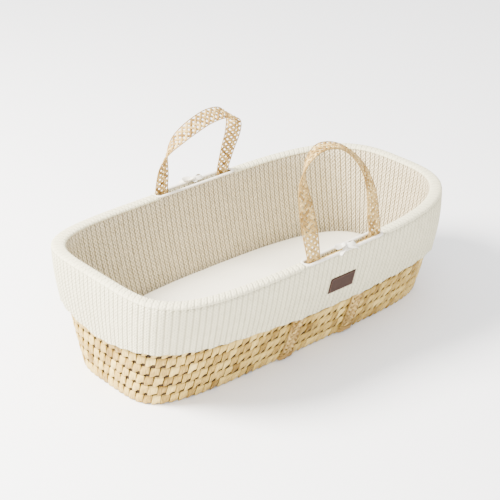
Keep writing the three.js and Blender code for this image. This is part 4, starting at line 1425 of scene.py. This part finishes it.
@dataclass(frozen=True)
class Label:
    """The blank leather label on the near side of the valance, with its stitches."""

    form: BasketForm
    finishes: Finishes
    squareness: float = 40.0
    stitch_squareness: float = 9.0
    stitch_inset: float = 0.003
    stitch_length: float = 0.0034
    stitch_gap: float = 0.0016
    thread_radius: float = 0.00035

    def on_valance(self, x: np.ndarray, z: np.ndarray, out: np.ndarray) -> np.ndarray:
        """Returns points at a distance out from the valance's outer face."""
        base = self.form.valance_inner + self.form.valance_thickness + self.form.valance_puff
        return self.form.side(Side.NEAR, x, base + out, z)

    def build(self) -> None:
        """Builds the patch and its ring of stitches."""
        low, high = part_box("label_patch")
        centre_x, centre_z = (low.x + high.x) / 2, (low.z + high.z) / 2
        half_x, half_z = (high.x - low.x) / 2, (high.z - low.z) / 2
        u, v = np.meshgrid(np.linspace(-1, 1, 29), np.linspace(-1, 1, 17), indexing="xy")
        size = (np.abs(u) ** self.squareness + np.abs(v) ** self.squareness) ** (1 / self.squareness)
        biggest = np.maximum(np.abs(u), np.abs(v))
        shrink = np.where(size > 0, biggest / np.maximum(size, 1e-9), 1)
        x, z = centre_x + u * half_x * shrink, centre_z + v * half_z * shrink
        edge = np.clip((1 - biggest) / 0.12, 0, 1)
        front = self.on_valance(x, z, 0.0006 + 0.0012 * edge**0.5)
        back = self.on_valance(x, z, np.full(x.shape, 0.0001))
        surface = thin_patches(front[None], back[None], np.array([PLAIN_TONE]))
        patch = surface.made("leather_label", self.finishes.leather)
        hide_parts("label_patch")
        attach(patch, "basket")
        self.stitches(centre_x, centre_z, half_x - self.stitch_inset, half_z - self.stitch_inset)

    def stitches(self, centre_x: float, centre_z: float, half_x: float, half_z: float) -> None:
        """Builds the stitches, short thread lengths along a rounded rectangle."""
        turn = np.linspace(0, 2 * math.pi, 721)
        reach = superellipse_reach(turn, np.float64(self.stitch_squareness))
        loop_x, loop_z = centre_x + half_x * reach * np.cos(turn), centre_z + half_z * reach * np.sin(turn)
        loop = np.stack([loop_x, loop_z], -1)
        distance = lengths(loop)
        count = int(distance[-1] / (self.stitch_length + self.stitch_gap))
        parts = []
        for start in np.arange(count) * distance[-1] / count:
            spot = start + np.linspace(0, self.stitch_length, 6)
            x, z = (np.interp(spot, distance, loop[:, k]) for k in range(2))
            arch = 0.0017 + 0.0004 * np.sin(np.linspace(0, math.pi, 6))
            line = self.on_valance(x, z, arch)
            wide = np.tile([[0.0, 1.0, 0.0]], (6, 1))
            parts.append(flat_tube(line, wide, self.thread_radius, self.thread_radius, 6))
        piece = Surface.joined(parts).made("label_stitches", self.finishes.thread)
        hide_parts("label_stitching")
        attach(piece, "basket")


# ------------------------------------------------------------------------------- mattress


@dataclass(frozen=True)
class Mattress:
    """The loose mattress in its fitted sheet."""

    finishes: Finishes
    squareness: float = 2.94
    sheet_thickness: float = 0.0012
    turn_under: float = 0.045
    draw_in: float = 0.018
    around_steps: int = 220

    def build(self) -> None:
        """Builds the filling, the sheet and the sheet's elastic."""
        low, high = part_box("fitted_sheet")
        theta = np.linspace(0, 2 * math.pi, self.around_steps + 1)[:-1]
        half = np.array([high.x, high.y])
        self.filling(theta, half, low.z, high.z)
        self.elastic(theta, half, low.z)
        outer = self.profile(theta, half, low.z, high.z, 0.0)
        inner = self.profile(theta, half, low.z, high.z, self.sheet_thickness)
        sections = np.concatenate([outer, inner[:, ::-1]], 1)
        around = np.linspace(0, 1, sections.shape[1] + 1)
        surface = swept(sections, np.arange(len(theta) + 1.0), around, True)
        sheet = surface.made("mattress_sheet", self.finishes.sheet)
        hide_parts("fitted_sheet")
        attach(sheet, "mattress")

    def outline(self, theta: np.ndarray, half: np.ndarray, inset: np.ndarray) -> np.ndarray:
        """Returns x and y of the outline drawn in by the inset."""
        reach = superellipse_reach(theta, self.squareness)
        x = (half[0] - inset) * reach * np.cos(theta)
        y = (half[1] - inset) * reach * np.sin(theta)
        return np.stack([x, y], -1)

    def profile(
        self, theta: np.ndarray, half: np.ndarray, low: float, high: float, shrink: float
    ) -> np.ndarray:
        """Returns the sheet's skin from the middle of its top to its edge under the mattress.

        The side follows the flare of the basket. The top is crowned and has soft hollows.
        """
        side = np.array([
            (0.25, 0.965), (0.1, 0.915), (0.02, 0.86), (0, 0.8), (0.06, 0.68), (0.2, 0.55), (0.42, 0.4),
            (0.62, 0.26), (0.8, 0.13), (0.92, 0.05), (1.0, 0.012), (1.2, 0.0), (1.8, 0.0), (2.5, 0.0),
        ])
        top_share = np.array([0.0005, 0.004, 0.12, 0.25, 0.4, 0.55, 0.68, 0.78, 0.86, 0.915])
        around = theta[:, None]
        rounded = self.outline(around, half - shrink, np.zeros((1, 1)))
        top_xy = rounded * top_share[None, :, None]
        fall = np.array([0, 0, 0, 0.0001, 0.0002, 0.0004, 0.0007, 0.0012, 0.002, 0.003])[None]
        wave = 0.0007 * np.sin(top_xy[..., 0] * 23 + 1) * np.cos(top_xy[..., 1] * 31 + 0.4)
        wave = wave + 0.0005 * np.sin(top_xy[..., 0] * 61 + top_xy[..., 1] * 47)
        top_z = high - fall + wave * (1 - top_share**4)[None] - 0.0006
        top = np.concatenate([top_xy, top_z[..., None]], -1)
        ruck = 0.0006 * np.sin(theta * 64 + 2 * np.sin(theta * 9))[:, None] * np.array(side[None, :, 1] < 0.5)
        inset = side[None, :, 0] * self.draw_in + ruck
        side_xy = self.outline(around, half - shrink, inset)
        side_z = np.broadcast_to(mix(low, high, side[None, :, 1]), inset.shape)
        sides = np.concatenate([side_xy, side_z[..., None]], -1)
        whole = np.concatenate([top, sides], 1)
        middle = (low + high) / 2
        squeeze = 1 - 2 * shrink / (high - low)
        whole[..., 2] = middle + (whole[..., 2] - middle) * squeeze
        return whole

    def filling(self, theta: np.ndarray, half: np.ndarray, low: float, high: float) -> None:
        """Builds the mattress inside the sheet."""
        skin = self.profile(theta, half, low, high, 2 * self.sheet_thickness)
        under = skin[:, -1:] * np.array([0.001, 0.001, 1])
        sections = np.concatenate([skin, under], 1)
        around = np.linspace(0, 1, sections.shape[1] + 1)
        surface = swept(sections, np.arange(len(theta) + 1.0), around, True)
        piece = surface.made("mattress_filling", self.finishes.filling)
        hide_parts("mattress_core")
        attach(piece, "mattress")

    def elastic(self, theta: np.ndarray, half: np.ndarray, low: float) -> None:
        """Builds the elastic along the sheet's edge, under the mattress."""
        inset = self.turn_under + np.array([[0.0004, 0.0024, 0.0024, 0.0004]])
        flat = self.outline(theta[:, None], half, inset)
        z = np.broadcast_to(low + np.array([[0.0001, 0.0001, 0.0016, 0.0016]]), flat.shape[:2])
        sections = np.concatenate([flat, z[..., None]], -1)
        surface = swept(sections, np.arange(len(theta) + 1.0), np.linspace(0, 1, 5), True)
        piece = surface.made("sheet_band", self.finishes.elastic)
        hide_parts("sheet_elastic")
        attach(piece, "mattress")


# ------------------------------------------------------------------------------- stage


@dataclass(frozen=True)
class Studio:
    """The camera, the floor and the lights."""

    azimuth: float = -42.966
    elevation: float = 27.061
    distance: float = 2.6985
    lens: float = 94.056
    roll: float = 1.654
    target: tuple = (-0.01656, 0.01547, 0.16578)
    floor_half: float = 9.0
    floor_color: tuple = (0.9, 0.9, 0.91)
    floor_top: float = -0.0002
    floor_bottom: float = -0.02
    sky_color: tuple = (0.985, 0.985, 1.0)
    sky_strength: float = 2.3
    aim: tuple = (0.0, 0.0, 0.1)

    def camera(self) -> None:
        """Makes the scene's camera."""
        azimuth, elevation = math.radians(self.azimuth), math.radians(self.elevation)
        level = math.cos(elevation)
        back = Vector((math.sin(azimuth) * level, -math.cos(azimuth) * level, math.sin(elevation)))
        data = bpy.data.cameras.new("camera")
        data.lens = self.lens
        data.sensor_width = 36.0
        data.dof.use_dof = False
        made = bpy.data.objects.new("camera", data)
        bpy.context.scene.collection.objects.link(made)
        made.rotation_mode = "QUATERNION"
        turn = Quaternion((0, 0, 1), math.radians(self.roll))
        made.rotation_quaternion = back.to_track_quat("Z", "Y") @ turn
        made.location = Vector(self.target) + back * self.distance
        bpy.context.scene.camera = made

    def light(self, name: str, place: tuple, size: float, power: float, color: tuple) -> None:
        """Makes one soft area light that points at the basket."""
        data = bpy.data.lights.new(name, "AREA")
        data.shape = "DISK"
        data.size = size
        data.energy = power
        data.color = color
        made = bpy.data.objects.new(name, data)
        bpy.context.scene.collection.objects.link(made)
        made.location = place
        made.rotation_euler = (Vector(place) - Vector(self.aim)).to_track_quat("Z", "Y").to_euler()

    def build(self) -> None:
        """Makes the floor, the sky light and the area lights."""
        graph = Graph("floor_finish", 0.9)
        graph.color(self.floor_color)
        half = self.floor_half
        corners = np.array([(-half, -half), (half, -half), (half, half), (-half, half)], float)
        points = np.concatenate([
            np.column_stack([corners, np.full(4, z)]) for z in (self.floor_top, self.floor_bottom)
        ])
        quads = np.array([(0, 1, 2, 3), (7, 6, 5, 4), (0, 4, 5, 1), (1, 5, 6, 2), (2, 6, 7, 3), (3, 7, 4, 0)])
        floor = Surface(points, quads, np.zeros((6, 4, 2))).made("floor", graph.material, smooth=False)
        world = bpy.data.worlds.new("sky")
        world.use_nodes = True
        background = world.node_tree.nodes["Background"]
        background.inputs["Color"].default_value = (*self.sky_color, 1)
        background.inputs["Strength"].default_value = self.sky_strength
        bpy.context.scene.world = world
        self.light("key", (-2.3, 1.2, 2.5), 1.5, 760.0, (1.0, 0.96, 0.9))
        self.light("fill", (-2.6, -1.8, 2.2), 2.6, 70.0, (1.0, 0.98, 0.96))


def main() -> None:
    """Builds the whole scene."""
    logging.basicConfig(level=logging.INFO, format="%(message)s")
    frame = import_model()
    studio = Studio()
    studio.camera()
    form = BasketForm.measured()
    finishes = Finishes.made()
    joints = {joint["name"]: joint for joint in frame["record"]["behaviour"]["joints"]}
    PalmBasket(form, finishes).build()
    Straps(form, finishes, joints).build()
    KnitLiner(form, finishes, joints).build()
    for side in Side:
        RibbonBow(side, finishes).build()
    Label(form, finishes).build()
    Mattress(finishes).build()
    studio.build()


if __name__ == "__main__":
    main()
